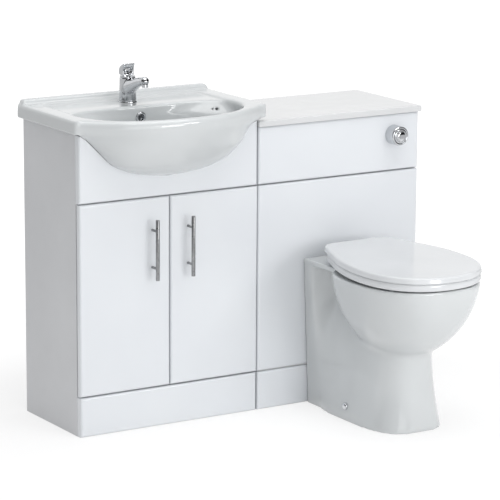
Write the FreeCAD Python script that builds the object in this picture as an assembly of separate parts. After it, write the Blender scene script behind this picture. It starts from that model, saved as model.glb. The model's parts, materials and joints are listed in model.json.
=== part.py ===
import FreeCAD, Part
import math
import os

V = FreeCAD.Vector

# Bathroom suite: a basin cabinet on the left and a cistern cabinet on the right, joined side by side, with a
# semi-recessed basin, a mixer tap, and a back-to-wall pan with a seat and a lid. Millimetres, X to the right,
# Y from the front to the wall, Z up from the floor.

# Cabinets
vanity_width = 520.0
vanity_height = 776.0
wc_width = 500.0
wc_height = 750.0
carcass_depth = 279.0
board = 16.0
front_thickness = 19.0
front_inset = 2.0
outer_inset = 0.5
front_gap = 3.0
front_edge_radius = 6.0
plinth_line = 103.0
fascia_height = 178.5
rail_height = 100.0
rail_below = 12.0
rail_above = 32.0
worktop_thickness = 16.0
worktop_overhang = 5.0
worktop_edge_radius = 4.0

# Doors, hinges and handles
door_thickness = 16.0
door_back_radius = 2.0
hinge_from_edge = 7.5
hinge_from_back = 7.0
hinge_end_distance = 85.0
hinge_pin_radius = 1.5
hinge_pin_clearance = 0.06
hinge_eye_radius = 2.8
hinge_arm_height = 8.0
hinge_arm_thickness = 3.0
hinge_arm_reach = 14.5
hinge_arm_length = 62.0
hinge_cup_radius = 17.5
hinge_cup_wall = 1.0
hinge_cup_depth = 12.0
hinge_flange = 1.0
hinge_plate_height = 46.0
handle_from_split = 52.0
handle_length = 156.0
handle_below_fascia = 131.5
handle_spacing = 96.0
handle_radius = 5.0
handle_stand = 27.0
handle_post_radius = 3.5

# Basin
basin_overhang = 18.0
basin_height = 35.0
deck_overhang = 16.0
skirt_wall = 14.0
deck_thickness = 23.0
recess_depth = 5.0
upstand_height = 13.0
upstand_thickness = 24.0
bowl_arc_half = 191.0
bowl_arc_height = 71.0
bowl_above_line = 56.0
shoulder_drop = 24.0
shoulder_flare = 11.0
bowl_bulge = 112.0
bowl_plan_power = 2.8
bowl_side_power = 1.6
rim_below_deck = 11.0
bowl_back = 40.0
bowl_floor_drop = 10.0
waste_back = 65.0
bowl_wall = 15.0
rim_wall = 20.0
opening_side = 48.0
opening_back = 108.0
bowl_inner_back = 130.0
upper_wall = 34.0
fascia_clearance = 1.5
waste_hole_radius = 22.5
overflow_radius = 14.5
overflow_below_deck = 36.0
overflow_proud = 3.0

# Tap
tap_from_wall = 79.0
tap_base_radius = 23.0
tap_body_radius = 20.5
tap_body_height = 64.0
tap_hole_radius = 17.0
shank_below_deck = 20.0
tap_inlet_offset = 8.5
tap_inlet_radius = 5.0
tap_inlet_wall = 1.5
tap_inlet_length = 26.0
spout_reach = 88.0
spout_rise = 64.0
spout_end_radius = 12.0
lever_width = 34.0
lever_rise = 100.0
lever_reach = 9.0
lever_pin_radius = 2.5
tap_fit = 0.06

# Waste, plug and bottle trap
waste_radius = 21.0
waste_wall = 2.0
waste_length = 62.0
plug_radius = 30.0
waste_flange_border = 2.0
plug_stem_radius = 5.0
plug_travel = 8.0
trap_cup_radius = 36.0
trap_cup_height = 92.0
trap_pipe_radius = 16.0
trap_pipe_wall = 2.0

# Flush button
button_from_side = 80.0
button_below_worktop = 56.0
bezel_base_radius = 26.5
bezel_waist_radius = 20.5
bezel_front_radius = 23.0
bezel_projection = 34.0
button_radius = 19.0
button_proud = 4.0
button_travel = 6.0
button_fit = 0.4
sleeve_radius = 21.5
sleeve_length = 24.0

# Cistern
cistern_side_gap = 44.0
cistern_depth = 150.0
cistern_height = 300.0
cistern_wall = 4.0
cistern_headroom = 30.0
cistern_from_front = 62.0
flush_pipe_radius = 22.0
flush_pipe_wall = 2.0
flush_below_ledge = 47.0
float_travel = 60.0

# Pan, seat and lid
pan_projection = 514.0
pan_gap = 1.0
ledge_height = 392.0
column_top_half = 111.0
column_foot_half = 95.0
column_depth = 58.0
ledge_thickness = 34.0
ledge_reach = 165.0
rim_half_width = 166.0
rim_width = 44.0
bowl_centre_reach = 285.0
pan_bowl_front = 227.0
pan_bowl_rear = 152.0
pan_bowl_depth = 221.0
pan_bowl_power = 1.77
sump_depth = 232.0
foot_half_width = 109.0
foot_reach = 392.0
neck_height = 165.0
neck_half_width = 90.0
neck_reach = 378.0
pan_wall = 14.0
hollow_depth = 112.0
soil_height = 180.0
soil_radius = 51.0
soil_wall = 6.0
soil_length = 62.0
screw_cap_radius = 9.5
screw_cap_height = 38.0
screw_cap_reach = 200.0
seat_slope = 1.6
seat_thickness = 19.5
seat_rise = 14.0
seat_hole_half = 104.0
seat_border = 65.0
seat_bridge = 82.0
lid_thickness = 17.0
lid_half_width = 168.0
lid_gap = 1.0
lid_edge_radius = 5.0
cover_centre_reach = 325.0
cover_rear_half = 106.0
cover_corner_radius = 26.0
cover_bend = 0.52
cover_power = 2.27
hinge_axis_reach = 80.0
hinge_axis_rise = 15.0
hinge_post_offset = 60.0
hinge_barrel_radius = 6.5
hinge_barrel_length = 18.0
seat_pin_radius = 4.0
seat_pin_fit = 0.06
seat_lug_length = 12.0

# Positions that follow from the sizes
basin_width = vanity_width + 2 * basin_overhang
overall_width = basin_overhang + vanity_width + wc_width + worktop_overhang
overall_depth = carcass_depth + front_thickness + pan_projection
x_left = basin_overhang - overall_width / 2
x_split = x_left + vanity_width
x_right = x_split + wc_width
x_basin = x_left + vanity_width / 2
x_pan = x_split + wc_width / 2
y_wall = overall_depth / 2
y_carcass = y_wall - carcass_depth
y_face = y_carcass - front_thickness
y_door_back = y_face + door_thickness
half_gap = front_gap / 2
fascia_line = vanity_height - fascia_height
handle_height = fascia_line - handle_below_fascia
deck_height = vanity_height + basin_height
bowl_low = fascia_line + bowl_above_line
bowl_rim = deck_height - rim_below_deck
bowl_floor = bowl_low - bowl_floor_drop
overflow_height = deck_height - overflow_below_deck
button_height = wc_height - button_below_worktop
cistern_width = wc_width - 2 * board - 2 * cistern_side_gap
cistern_base = wc_height - cistern_headroom - cistern_height
flush_pipe_height = ledge_height - flush_below_ledge
waste_flange_radius = plug_radius + waste_flange_border


def block(x0, x1, y0, y1, z0, z1):
    """A box between two corners."""
    return Part.makeBox(x1 - x0, y1 - y0, z1 - z0, V(x0, y0, z0))


def rod(x, y, z, radius, length, axis):
    """A round bar that starts at a point and runs along an axis."""
    return Part.makeCylinder(radius, length, V(x, y, z), axis)


def tube(x, y, z, radius, wall, length, axis):
    """A round pipe that starts at a point and runs along an axis."""
    outer = rod(x, y, z, radius, length, axis)
    return outer.cut(rod(x, y, z, radius - wall, length, axis))


X = V(1, 0, 0)
Y = V(0, 1, 0)
Z = V(0, 0, 1)


def edges_on(shape, axis, value):
    """The edges that lie wholly in the plane where one coordinate has a value."""
    found = []
    for edge in shape.Edges:
        box = edge.BoundBox
        low = (box.XMin, box.YMin, box.ZMin)[axis]
        high = (box.XMax, box.YMax, box.ZMax)[axis]
        if abs(low - value) < 0.01 and abs(high - value) < 0.01:
            found.append(edge)
    return found


def front_panel(x0, x1, z0, z1, thickness):
    """A front board with its four front edges rounded."""
    panel = block(x0, x1, y_face, y_face + thickness, z0, z1)
    return panel.makeFillet(front_edge_radius, edges_on(panel, 1, y_face))


def mirrored(shape, x):
    """The shape's reflection in the upright plane at x, facing left and right."""
    return shape.mirror(V(x, 0, 0), X)


def signed_power(value, power):
    """The power of a number's size, with its sign kept."""
    return math.copysign(abs(value) ** power, value)


def egg(x, y_wide, half_width, y_front, y_rear, z, front_power=2.0, rear_power=2.0):
    """A closed level outline, widest at y_wide, whose ends get squarer as their powers grow."""
    points = []
    for step in range(40):
        angle = 2 * math.pi * step / 40
        across = math.cos(angle)
        along = math.sin(angle)
        power = front_power if along < 0 else rear_power
        reach = y_wide - y_front if along < 0 else y_rear - y_wide
        points.append(
            V(
                x + half_width * signed_power(across, 2 / power),
                y_wide + reach * signed_power(along, 2 / power),
                z,
            )
        )
    curve = Part.BSplineCurve()
    curve.interpolate(points, PeriodicFlag=True)
    return Part.Wire([curve.toShape()])


def loft(wires):
    """A solid through a stack of closed outlines."""
    return Part.makeLoft(wires, True, False)


parts = {}

# Basin cabinet: two sides, a base, back rails, and a front rail that the doors close against
parts["vanity_left_side"] = block(x_left, x_left + board, y_carcass, y_wall, 0, vanity_height)
vanity_right_side = block(x_split - board, x_split, y_carcass, y_wall, 0, vanity_height)
inner_left = x_left + board
inner_right = x_split - board
base_top = plinth_line + board
parts["vanity_base"] = block(inner_left, inner_right, y_carcass, y_wall, plinth_line, base_top)
y_rail = y_wall - board
upper_rail = block(inner_left, inner_right, y_rail, y_wall, vanity_height - rail_height, vanity_height)
lower_rail = block(inner_left, inner_right, y_rail, y_wall, base_top, base_top + rail_height)
parts["vanity_back_rails"] = Part.makeCompound([upper_rail, lower_rail])
rail_low = fascia_line - rail_below
rail_top = fascia_line + rail_above
parts["vanity_front_rail"] = block(
    inner_left, inner_right, y_carcass, y_carcass + board, rail_low, rail_top
)

# Fixed fronts of the basin cabinet
front_left = x_left + outer_inset
front_right = x_split - front_inset
parts["vanity_plinth"] = front_panel(front_left, front_right, 0, plinth_line - half_gap, front_thickness)
fascia_low = fascia_line + half_gap
fascia = front_panel(front_left, front_right, fascia_low, vanity_height - half_gap, front_thickness)


# Outside of the bowl: level outlines that meet the fascia's plane on one line, and bulge out before it. The line
# is an oval arc at the bottom, goes on straight up the flanks and flares to shoulders under the deck.
y_bowl = y_face + bowl_back
y_waste = y_face + waste_back


def bowl_drop(z):
    """How far a height lies below the bowl's rim, as a share of the bowl's depth."""
    return min(max((bowl_rim - z) / (bowl_rim - bowl_low), 0.0), 0.99)


def bowl_rear(z):
    """How far the outside of the bowl reaches behind its widest line, at a height."""
    return (bowl_inner_back + bowl_wall) * math.sqrt(1 - (0.85 * bowl_drop(z)) ** 2)


def bowl_half(z):
    """Half the bowl's width in the fascia's plane, at a height."""
    rise = min(max(z, bowl_low + 1.0), vanity_height) - bowl_low
    slant = bowl_arc_height / math.hypot(bowl_arc_half, bowl_arc_height)
    flank_start = bowl_arc_height * (1 - slant)
    if rise < flank_start:
        return bowl_arc_half * math.sqrt(1 - (1 - rise / bowl_arc_height) ** 2)
    half = bowl_arc_half * math.sqrt(1 - slant * slant) + rise - flank_start
    flare = max(rise - (vanity_height - shoulder_drop - bowl_low), 0.0) / shoulder_drop
    return half + shoulder_flare * flare * flare


def bowl_outline(z, grow):
    """The outside of the bowl at a height, made larger all round by a margin."""
    drop = bowl_drop(z)
    reach = bowl_back + bowl_bulge * (1 - drop ** bowl_side_power) ** (1 / bowl_side_power)
    draw = (1 - (bowl_back / reach) ** bowl_plan_power) ** (1 / bowl_plan_power)
    wide = min(bowl_half(z) / draw, basin_width / 2 - 5.0)
    front = y_bowl - reach - grow
    return egg(x_basin, y_bowl, wide + grow, front, y_bowl + bowl_rear(z) + grow, z, bowl_plan_power, 2.0)


def bowl_outside(grow):
    """The bowl as a solid, from its flat bottom to the top of the deck."""
    bottom = waste_flange_radius + bowl_wall + grow
    wires = [egg(x_basin, y_waste, bottom, y_waste - bottom, y_waste + bottom, bowl_floor - grow)]
    for share in (0.02, 0.06, 0.12, 0.2, 0.3, 0.42, 0.55, 0.68, 0.8, 0.87, 0.93, 1.0):
        wires.append(bowl_outline(bowl_low + share * (vanity_height - bowl_low), grow))
    wires.append(bowl_outline(deck_height, grow))
    return Part.makeLoft(wires, True, True)


def bowl_inside():
    """The hollow of the bowl, from its floor to above the deck."""
    floor = bowl_floor + bowl_wall
    low = waste_flange_radius + 6.0
    wires = [egg(x_basin, y_waste, low, y_waste - low, y_waste + low, floor)]
    for share, wall in (
        (0.12, 18.0),
        (0.2, 19.0),
        (0.3, 20.0),
        (0.4, 21.0),
        (0.51, 24.0),
        (0.62, 27.0),
        (0.74, 0.5 * (27.0 + upper_wall)),
        (0.85, upper_wall),
    ):
        z = bowl_low + share * (bowl_rim - bowl_low)
        wires.append(bowl_outline(z, -wall))
    half = basin_width / 2 - opening_side
    front = y_bowl - bowl_back - bowl_bulge + rim_wall
    wires.append(egg(x_basin, y_bowl, half, front, y_bowl + opening_back, deck_height + 4.0, 2.2, 3.2))
    return Part.makeLoft(wires, True, True)


parts["vanity_fascia"] = fascia.cut(bowl_outside(fascia_clearance))

# Basin: a hollow deck with a skirt, a recessed tap ledge and an upstand, with the bowl through it
basin_left = x_basin - basin_width / 2
basin_right = x_basin + basin_width / 2
deck_front = y_face - deck_overhang
deck = block(basin_left, basin_right, deck_front, y_wall, vanity_height, deck_height)
corner_edges = [e for e in deck.Edges if abs(e.BoundBox.ZLength - (deck_height - vanity_height)) < 0.01]
front_corners = [e for e in corner_edges if e.BoundBox.YMax < deck_front + 1]
deck = deck.makeFillet(10.0, front_corners)
deck = deck.makeFillet(5.0, edges_on(deck, 2, deck_height))
under = deck_height - deck_thickness
deck = deck.cut(
    block(
        inner_left,
        inner_right,
        deck_front + skirt_wall,
        y_wall - skirt_wall,
        vanity_height - 1,
        under,
    )
)
upstand_top = deck_height + upstand_height
y_upstand = y_wall - upstand_thickness
upstand = block(basin_left + 6, basin_right - 6, y_upstand, y_wall, deck_height - 6, upstand_top)
upstand = upstand.makeFillet(
    8.0, [e for e in edges_on(upstand, 2, upstand_top) if e.BoundBox.YMin < y_wall - 1]
)
recess_top = deck_height - recess_depth
recess = block(
    basin_left + 50,
    basin_right - 50,
    y_bowl + 30,
    y_upstand - 14,
    recess_top,
    deck_height + 30,
)
recess = recess.makeFillet(20.0, [e for e in recess.Edges if e.BoundBox.ZLength > 20])
y_tap = y_wall - tap_from_wall
bowl_bottom = bowl_floor + bowl_wall
basin = deck.fuse(upstand)
basin = basin.fuse(bowl_outside(0.0))
basin = basin.cut(bowl_inside())
basin = basin.cut(recess)
basin = basin.cut(rod(x_basin, y_tap, vanity_height, tap_hole_radius, 60, Z))
basin = basin.cut(rod(x_basin, y_waste, bowl_floor - 5, waste_hole_radius, 60, Z))
for x in (x_left, x_split - board):
    basin = basin.cut(
        block(
            x - fascia_clearance,
            x + board + fascia_clearance,
            y_carcass - fascia_clearance,
            y_wall,
            bowl_floor,
            vanity_height,
        )
    )
overflow_wall = y_bowl + bowl_rear(overflow_height) - upper_wall
overflow_hole = overflow_radius - 3.0
basin = basin.cut(rod(x_basin, overflow_wall - 40, overflow_height, overflow_hole, 140, Y))
parts["basin"] = basin

# Overflow: a chrome ring that stands on the back wall of the bowl, with a sleeve in the hole
overflow_face = overflow_wall - overflow_proud
overflow_fit = 0.2
ring = tube(x_basin, overflow_face, overflow_height, overflow_radius, 5.0, overflow_proud + 5, Y)
ring = ring.cut(basin)
sleeve = tube(x_basin, overflow_face, overflow_height, overflow_hole - overflow_fit, 2.3, 30, Y)
parts["overflow_ring"] = ring.fuse(sleeve)

# Waste: a flanged tube clamped through the bowl, with a crossbar that guides the plug's stem
flange_height = 3.0
waste_low = bowl_bottom - waste_length
waste = rod(x_basin, y_waste, bowl_bottom, waste_flange_radius, flange_height, Z)
waste = waste.fuse(rod(x_basin, y_waste, waste_low, waste_radius, waste_length, Z))
waste = waste.cut(rod(x_basin, y_waste, waste_low - 1, waste_radius - waste_wall, waste_length + 10, Z))
guide_low = bowl_bottom - 26.0
guide = rod(x_basin, y_waste, guide_low, plug_stem_radius + 3, 18, Z)
bar_reach = waste_radius - 1.0
crossbar = block(x_basin - bar_reach, x_basin + bar_reach, y_waste - 3, y_waste + 3, guide_low, guide_low + 8)
guide = guide.fuse(crossbar)
guide = guide.cut(rod(x_basin, y_waste, guide_low - 1, plug_stem_radius + tap_fit, 40, Z))
parts["basin_waste"] = waste.fuse(guide)
plug_seat = bowl_bottom + flange_height + 0.5
plug = rod(x_basin, y_waste, plug_seat, plug_radius, 6, Z)
plug = plug.makeFillet(2.5, edges_on(plug, 2, plug_seat + 6))
stem_end = guide_low - plug_travel
plug_stem = rod(x_basin, y_waste, stem_end, plug_stem_radius, plug_seat - stem_end, Z)
parts["waste_plug"] = plug.fuse(plug_stem)
nut_thickness = 10.0
parts["waste_nut"] = tube(
    x_basin, y_waste, bowl_floor - nut_thickness, waste_radius + 12, 12, nut_thickness, Z
)

# Bottle trap: a nut and tube under the waste, a cup, and an outlet pipe back to the wall
trap_collar_top = waste_low + 22.0
trap_collar_low = waste_low - 16.0
trap_cup_top = waste_low - 14.0
trap_cup_low = trap_cup_top - trap_cup_height
collar_length = trap_collar_top - trap_collar_low
collar = tube(x_basin, y_waste, trap_collar_low, waste_radius + 7, 7 - tap_fit, collar_length, Z)
cup = rod(x_basin, y_waste, trap_cup_low, trap_cup_radius, trap_cup_height, Z)
cup = cup.makeFillet(10.0, edges_on(cup, 2, trap_cup_low))
cup = cup.cut(rod(x_basin, y_waste, trap_cup_low + 4, trap_cup_radius - 4, trap_cup_height - 8, Z))
cup = cup.cut(rod(x_basin, y_waste, trap_cup_top - 10, waste_radius + tap_fit, 20, Z))
trap_axis = trap_cup_top - 26.0
cup = cup.cut(rod(x_basin, y_waste, trap_axis, trap_pipe_radius, 100, Y))
parts["bottle_trap"] = cup.fuse(collar)
pipe_start = y_waste + trap_cup_radius - 6
pipe = tube(x_basin, pipe_start, trap_axis, trap_pipe_radius, trap_pipe_wall, y_wall - pipe_start, Y)
pipe_nut = tube(x_basin, y_waste + trap_cup_radius + 1, trap_axis, trap_pipe_radius + 7, 8, 18, Y)
parts["trap_outlet"] = pipe.fuse(pipe_nut)

# Tap: a body with a swept spout, a base ring, an aerator, a turning stem and a lever that tips on a pin
tap_foot = recess_top
tap_top = tap_foot + tap_body_height
parts["tap_base_ring"] = tube(x_basin, y_tap, tap_foot, tap_base_radius + 1.5, 6.5, 3, Z)
body = Part.makeCone(tap_base_radius, tap_body_radius, 18, V(x_basin, y_tap, tap_foot + 3), Z)
body = body.fuse(rod(x_basin, y_tap, tap_foot + 21, tap_body_radius, tap_body_height - 21, Z))


def spout_section(along, rise, half_across, half_up):
    """An upright elliptical section of the spout, a distance before the tap's axis."""
    points = []
    for step in range(24):
        angle = 2 * math.pi * step / 24
        points.append(
            V(
                x_basin + half_across * math.cos(angle),
                y_tap - along,
                tap_foot + rise + half_up * math.sin(angle),
            )
        )
    curve = Part.BSplineCurve()
    curve.interpolate(points, PeriodicFlag=True)
    return Part.Wire([curve.toShape()])


spout = loft(
    [
        spout_section(0, 0.55 * spout_rise, 0.9 * tap_body_radius, 0.42 * spout_rise),
        spout_section(0.3 * spout_reach, 0.7 * spout_rise, 0.78 * tap_body_radius, 0.3 * spout_rise),
        spout_section(0.65 * spout_reach, 0.89 * spout_rise, 1.1 * spout_end_radius, 0.21 * spout_rise),
        spout_section(spout_reach, spout_rise, 0.93 * spout_end_radius, 0.93 * spout_end_radius),
    ]
)
spout_end = V(x_basin, y_tap - spout_reach, tap_foot + spout_rise)
spout = spout.fuse(Part.makeSphere(spout_end_radius, spout_end))
y_outlet = y_tap - spout_reach - 0.25 * spout_end_radius
outlet_low = tap_foot + spout_rise - spout_end_radius
spout = spout.cut(rod(x_basin, y_outlet, outlet_low - 2, 8.5, 8, Z))
body = body.fuse(spout)
shank_length = tap_foot - under + shank_below_deck
shank = rod(x_basin, y_tap, tap_foot - shank_length, tap_hole_radius - 1.5, shank_length + 3, Z)
body = body.fuse(shank)
stem_radius = 6.0
stem_depth = 30.0
body = body.cut(rod(x_basin, y_tap, tap_top - stem_depth, stem_radius + tap_fit, stem_depth + 5, Z))
shank_low = tap_foot - shank_length
inlet_low = shank_low - tap_inlet_length
for side in (-1, 1):
    x_inlet = x_basin + side * tap_inlet_offset
    body = body.fuse(rod(x_inlet, y_tap, inlet_low, tap_inlet_radius, tap_inlet_length + 1, Z))
    body = body.cut(rod(x_inlet, y_tap, inlet_low, tap_inlet_radius - tap_inlet_wall, tap_inlet_length, Z))
parts["tap_body"] = body
parts["tap_aerator"] = tube(x_basin, y_outlet, outlet_low - 3, 8.4, 2, 8, Z)
washer = tube(x_basin, y_tap, under - 4, tap_hole_radius + 8, 8.2, 4, Z)
nut = tube(x_basin, y_tap, under - 14, tap_hole_radius + 4, 5, 10, Z)
parts["tap_fixing"] = Part.makeCompound([washer, nut])

# The stem turns in the body. A block at its back holds the pin that the lever tips on.
stem_disc = 3.0
stem_low = tap_top + 0.3
y_pin = y_tap + 12.0
z_pin = stem_low + stem_disc + 6.5
lever_eye = 5.5
pin_block = 10.0
stem = rod(x_basin, y_tap, tap_top - stem_depth + 2, stem_radius, stem_depth, Z)
stem = stem.fuse(rod(x_basin, y_tap, stem_low, tap_body_radius - 0.5, stem_disc, Z))
block_half = pin_block / 2
block_low = stem_low + stem_disc - 0.5
post = block(x_basin - block_half, x_basin + block_half, y_pin - 4, y_pin + 4, block_low, z_pin)
post = post.fuse(rod(x_basin - block_half, y_pin, z_pin, 4, pin_block, X))
pin_half = lever_width / 2 - 3.0
stem = stem.fuse(post)
parts["tap_stem"] = stem.fuse(rod(x_basin - pin_half, y_pin, z_pin, lever_pin_radius, 2 * pin_half, X))


def lever_point(behind, up):
    """A point of the lever's side outline, behind the tap's axis and above the tap's foot."""
    return V(x_basin - lever_width / 2, y_tap + behind, tap_foot + up)


lever_base = stem_low + stem_disc + 1.0 - tap_foot
eye_up = z_pin - tap_foot
eye_back = y_pin - y_tap
outer = Part.BSplineCurve()
outer.interpolate(
    [
        lever_point(eye_back + lever_eye, eye_up),
        lever_point(eye_back + lever_eye - 0.5, eye_up + 0.3 * (lever_rise - eye_up)),
        lever_point(0.9 * eye_back, eye_up + 0.68 * (lever_rise - eye_up)),
        lever_point(0.0, lever_rise - 3),
        lever_point(-lever_reach, lever_rise),
    ]
)
lever_front = -0.4 * eye_back
inner = Part.BSplineCurve()
inner.interpolate(
    [
        lever_point(-lever_reach, lever_rise - 5),
        lever_point(-0.6 * lever_reach, lever_rise - 9),
        lever_point(lever_front + 4, lever_rise - 19),
        lever_point(lever_front, lever_base),
    ]
)
tip_edge = Part.makeLine(lever_point(-lever_reach, lever_rise), lever_point(-lever_reach, lever_rise - 5))
base_edge = Part.makeLine(lever_point(lever_front, lever_base), lever_point(eye_back, lever_base))
eye_edge = Part.Arc(
    lever_point(eye_back, lever_base),
    lever_point(eye_back + lever_eye * math.sin(math.pi / 4), eye_up - lever_eye * math.cos(math.pi / 4)),
    lever_point(eye_back + lever_eye, eye_up),
).toShape()
outline = Part.Wire(Part.__sortEdges__([outer.toShape(), tip_edge, inner.toShape(), base_edge, eye_edge]))
lever = Part.Face(outline).extrude(V(lever_width, 0, 0))
bore_half = pin_half + 0.2
lever = lever.cut(rod(x_basin - bore_half, y_pin, z_pin, lever_pin_radius + tap_fit, 2 * bore_half, X))
lever = lever.cut(
    block(
        x_basin - pin_block / 2 - 0.5,
        x_basin + pin_block / 2 + 0.5,
        y_pin - 14,
        y_pin + 12,
        tap_foot + lever_base - 5,
        z_pin + 12,
    )
)
parts["tap_lever"] = lever

# Doors, each with two concealed hinges. The pin sits in the hinge cup, close to the door's outer front
# corner, so that the door swings clear of its neighbour.
door_low = plinth_line + half_gap
door_high = fascia_line - half_gap
x_mid = (x_left + x_split) / 2
x_hinge = front_left + hinge_from_edge
y_hinge = y_door_back - hinge_from_back
eye_clear = hinge_eye_radius + 0.5
cup_inner = hinge_cup_radius - hinge_cup_wall
cup_floor = y_door_back - hinge_cup_depth
x_cup = x_hinge - eye_clear + math.sqrt(cup_inner**2 - (hinge_arm_height / 2) ** 2)
hinge_heights = (door_low + hinge_end_distance, door_high - hinge_end_distance)
x_arm = x_hinge + hinge_arm_reach
arm_end = y_carcass + hinge_arm_length

left_door = front_panel(front_left, x_mid - half_gap, door_low, door_high, door_thickness)
back_edges = [e for e in edges_on(left_door, 1, y_door_back) if e.BoundBox.XMax < front_left + 1]
left_door = left_door.makeFillet(door_back_radius, back_edges)
left_cups = []
left_arms = []
for z in hinge_heights:
    cup = rod(x_cup, cup_floor, z, hinge_cup_radius, hinge_cup_depth, Y)
    left_door = left_door.cut(cup)
    flange_half = hinge_plate_height / 2
    flange_back = y_door_back + hinge_flange
    flange = block(x_cup - 8, x_cup + 8, y_door_back, flange_back, z - flange_half, z + flange_half)
    flange = flange.makeFillet(5.0, [e for e in flange.Edges if e.BoundBox.YLength > hinge_flange / 2])
    cup = cup.fuse(flange)
    cup = cup.cut(rod(x_cup, cup_floor + hinge_cup_wall, z, cup_inner, hinge_cup_depth + 5, Y))
    ear_length = math.sqrt(max(cup_inner**2 - (x_hinge - x_cup) ** 2, 9.0)) + 1.0
    pin = rod(x_hinge, y_hinge, z - ear_length, hinge_pin_radius, 2 * ear_length, Z)
    pin = pin.common(rod(x_cup, cup_floor, z, hinge_cup_radius - 0.2, hinge_cup_depth, Y))
    left_cups.append(cup.fuse(pin))
    half = hinge_arm_height / 2
    arm = rod(x_hinge, y_hinge, z - half, hinge_eye_radius, hinge_arm_height, Z)
    bar_half = hinge_arm_thickness / 2
    reach_bar = block(x_hinge, x_arm + bar_half, y_hinge - bar_half, y_hinge + bar_half, z - half, z + half)
    leg = block(x_arm - bar_half, x_arm + bar_half, y_hinge - bar_half, arm_end, z - half, z + half)
    plate = block(inner_left, x_arm + bar_half, arm_end - 30, arm_end, z - half - 6, z + half + 6)
    arm = arm.fuse(reach_bar)
    arm = arm.fuse(leg)
    arm = arm.fuse(plate)
    eye_bore = hinge_pin_radius + hinge_pin_clearance
    left_arms.append(arm.cut(rod(x_hinge, y_hinge, z - half - 1, eye_bore, hinge_arm_height + 2, Z)))

# Bar handles on two posts
x_handle = x_mid - handle_from_split
y_bar = y_face - handle_stand
bar = rod(x_handle, y_bar, handle_height - handle_length / 2, handle_radius, handle_length, Z)
bar = bar.makeFillet(1.0, [e for e in bar.Edges if e.Curve.TypeId == "Part::GeomCircle"])
posts = []
for side in (-1, 1):
    z = handle_height + side * handle_spacing / 2
    post = rod(x_handle, y_bar, z, handle_post_radius, handle_stand, Y)
    posts.append(post.cut(rod(x_handle, y_bar, z - 20, handle_radius, 40, Z)))

parts["left_door"] = left_door
parts["left_hinge_cups"] = Part.makeCompound(left_cups)
parts["left_handle_bar"] = bar
parts["left_handle_posts"] = Part.makeCompound(posts)
parts["right_door"] = mirrored(left_door, x_mid)
parts["right_hinge_cups"] = mirrored(parts["left_hinge_cups"], x_mid)
parts["right_handle_bar"] = mirrored(bar, x_mid)
parts["right_handle_posts"] = mirrored(parts["left_handle_posts"], x_mid)
right_arms = [mirrored(arm, x_mid) for arm in left_arms]
parts["hinge_arms"] = Part.makeCompound(left_arms + right_arms)

# Cistern cabinet: two sides, a worktop, back rails, a front rail and a shelf that carries the cistern
wc_left_side = block(x_split, x_split + board, y_carcass, y_wall, 0, wc_height)
parts["wc_right_side"] = block(x_right - board, x_right, y_carcass, y_wall, 0, wc_height)
wc_inner_left = x_split + board
wc_inner_right = x_right - board
worktop_top = wc_height + worktop_thickness
y_worktop = y_face - worktop_overhang
worktop = block(x_split, x_right + worktop_overhang, y_worktop, y_wall, wc_height, worktop_top)
worktop_edges = [e for e in edges_on(worktop, 2, worktop_top) if e.BoundBox.YMin < y_wall - 1]
worktop = worktop.makeFillet(worktop_edge_radius, worktop_edges)
parts["wc_worktop"] = worktop
wc_rail_low = 20.0
wc_upper_rail = block(wc_inner_left, wc_inner_right, y_rail, y_wall, wc_height - rail_height, wc_height)
wc_lower_rail = block(wc_inner_left, wc_inner_right, y_rail, y_wall, wc_rail_low, wc_rail_low + rail_height)
parts["wc_back_rails"] = Part.makeCompound([wc_upper_rail, wc_lower_rail])
parts["wc_front_rail"] = block(
    wc_inner_left, wc_inner_right, y_carcass, y_carcass + board, rail_low, rail_top
)
y_cistern = y_carcass + cistern_from_front
y_pipe = y_cistern + cistern_depth / 2
shelf_low = cistern_base - board
shelf_back = y_cistern + cistern_depth + 5
shelf = block(wc_inner_left, wc_inner_right, y_cistern - 5, shelf_back, shelf_low, cistern_base)
parts["cistern_shelf"] = shelf.cut(rod(x_pan, y_pipe, shelf_low - 1, flush_pipe_radius + 6, board + 2, Z))

# Fixed fronts of the cistern cabinet
wc_front_left = x_split + front_inset
wc_front_right = x_right - outer_inset
x_button = x_right - button_from_side
parts["wc_plinth"] = front_panel(wc_front_left, wc_front_right, 0, plinth_line - half_gap, front_thickness)
wc_fascia = front_panel(wc_front_left, wc_front_right, fascia_low, wc_height - half_gap, front_thickness)
parts["wc_fascia"] = wc_fascia.cut(rod(x_button, y_face - 5, button_height, sleeve_radius + 1, 60, Y))
wc_panel = front_panel(wc_front_left, wc_front_right, door_low, door_high, front_thickness)
wc_panel = wc_panel.cut(rod(x_pan, y_face - 5, flush_pipe_height, flush_pipe_radius + 8, 60, Y))
parts["wc_front_panel"] = wc_panel.cut(rod(x_pan, y_face - 5, soil_height, soil_radius + 8, 60, Y))

# Bolts that join the two cabinets through their touching sides
bolt_radius = 4.0
bolt_fit = 0.2
bolt_head = 3.0
bolt_y = (y_carcass + 40, y_wall - 40)
bolt_z = (plinth_line + 60, fascia_line - 60)
bolts = []
for y in bolt_y:
    for z in bolt_z:
        hole = rod(x_split - board - 1, y, z, bolt_radius + bolt_fit, 2 * board + 2, X)
        vanity_right_side = vanity_right_side.cut(hole)
        wc_left_side = wc_left_side.cut(hole)
        bolt = rod(x_split - board, y, z, bolt_radius, 2 * board, X)
        bolt = bolt.fuse(rod(x_split - board - bolt_head, y, z, 2 * bolt_radius, bolt_head, X))
        bolts.append(bolt.fuse(rod(x_split + board, y, z, 2 * bolt_radius, bolt_head, X)))
parts["vanity_right_side"] = vanity_right_side
parts["wc_left_side"] = wc_left_side
parts["cabinet_bolts"] = Part.makeCompound(bolts)

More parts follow.
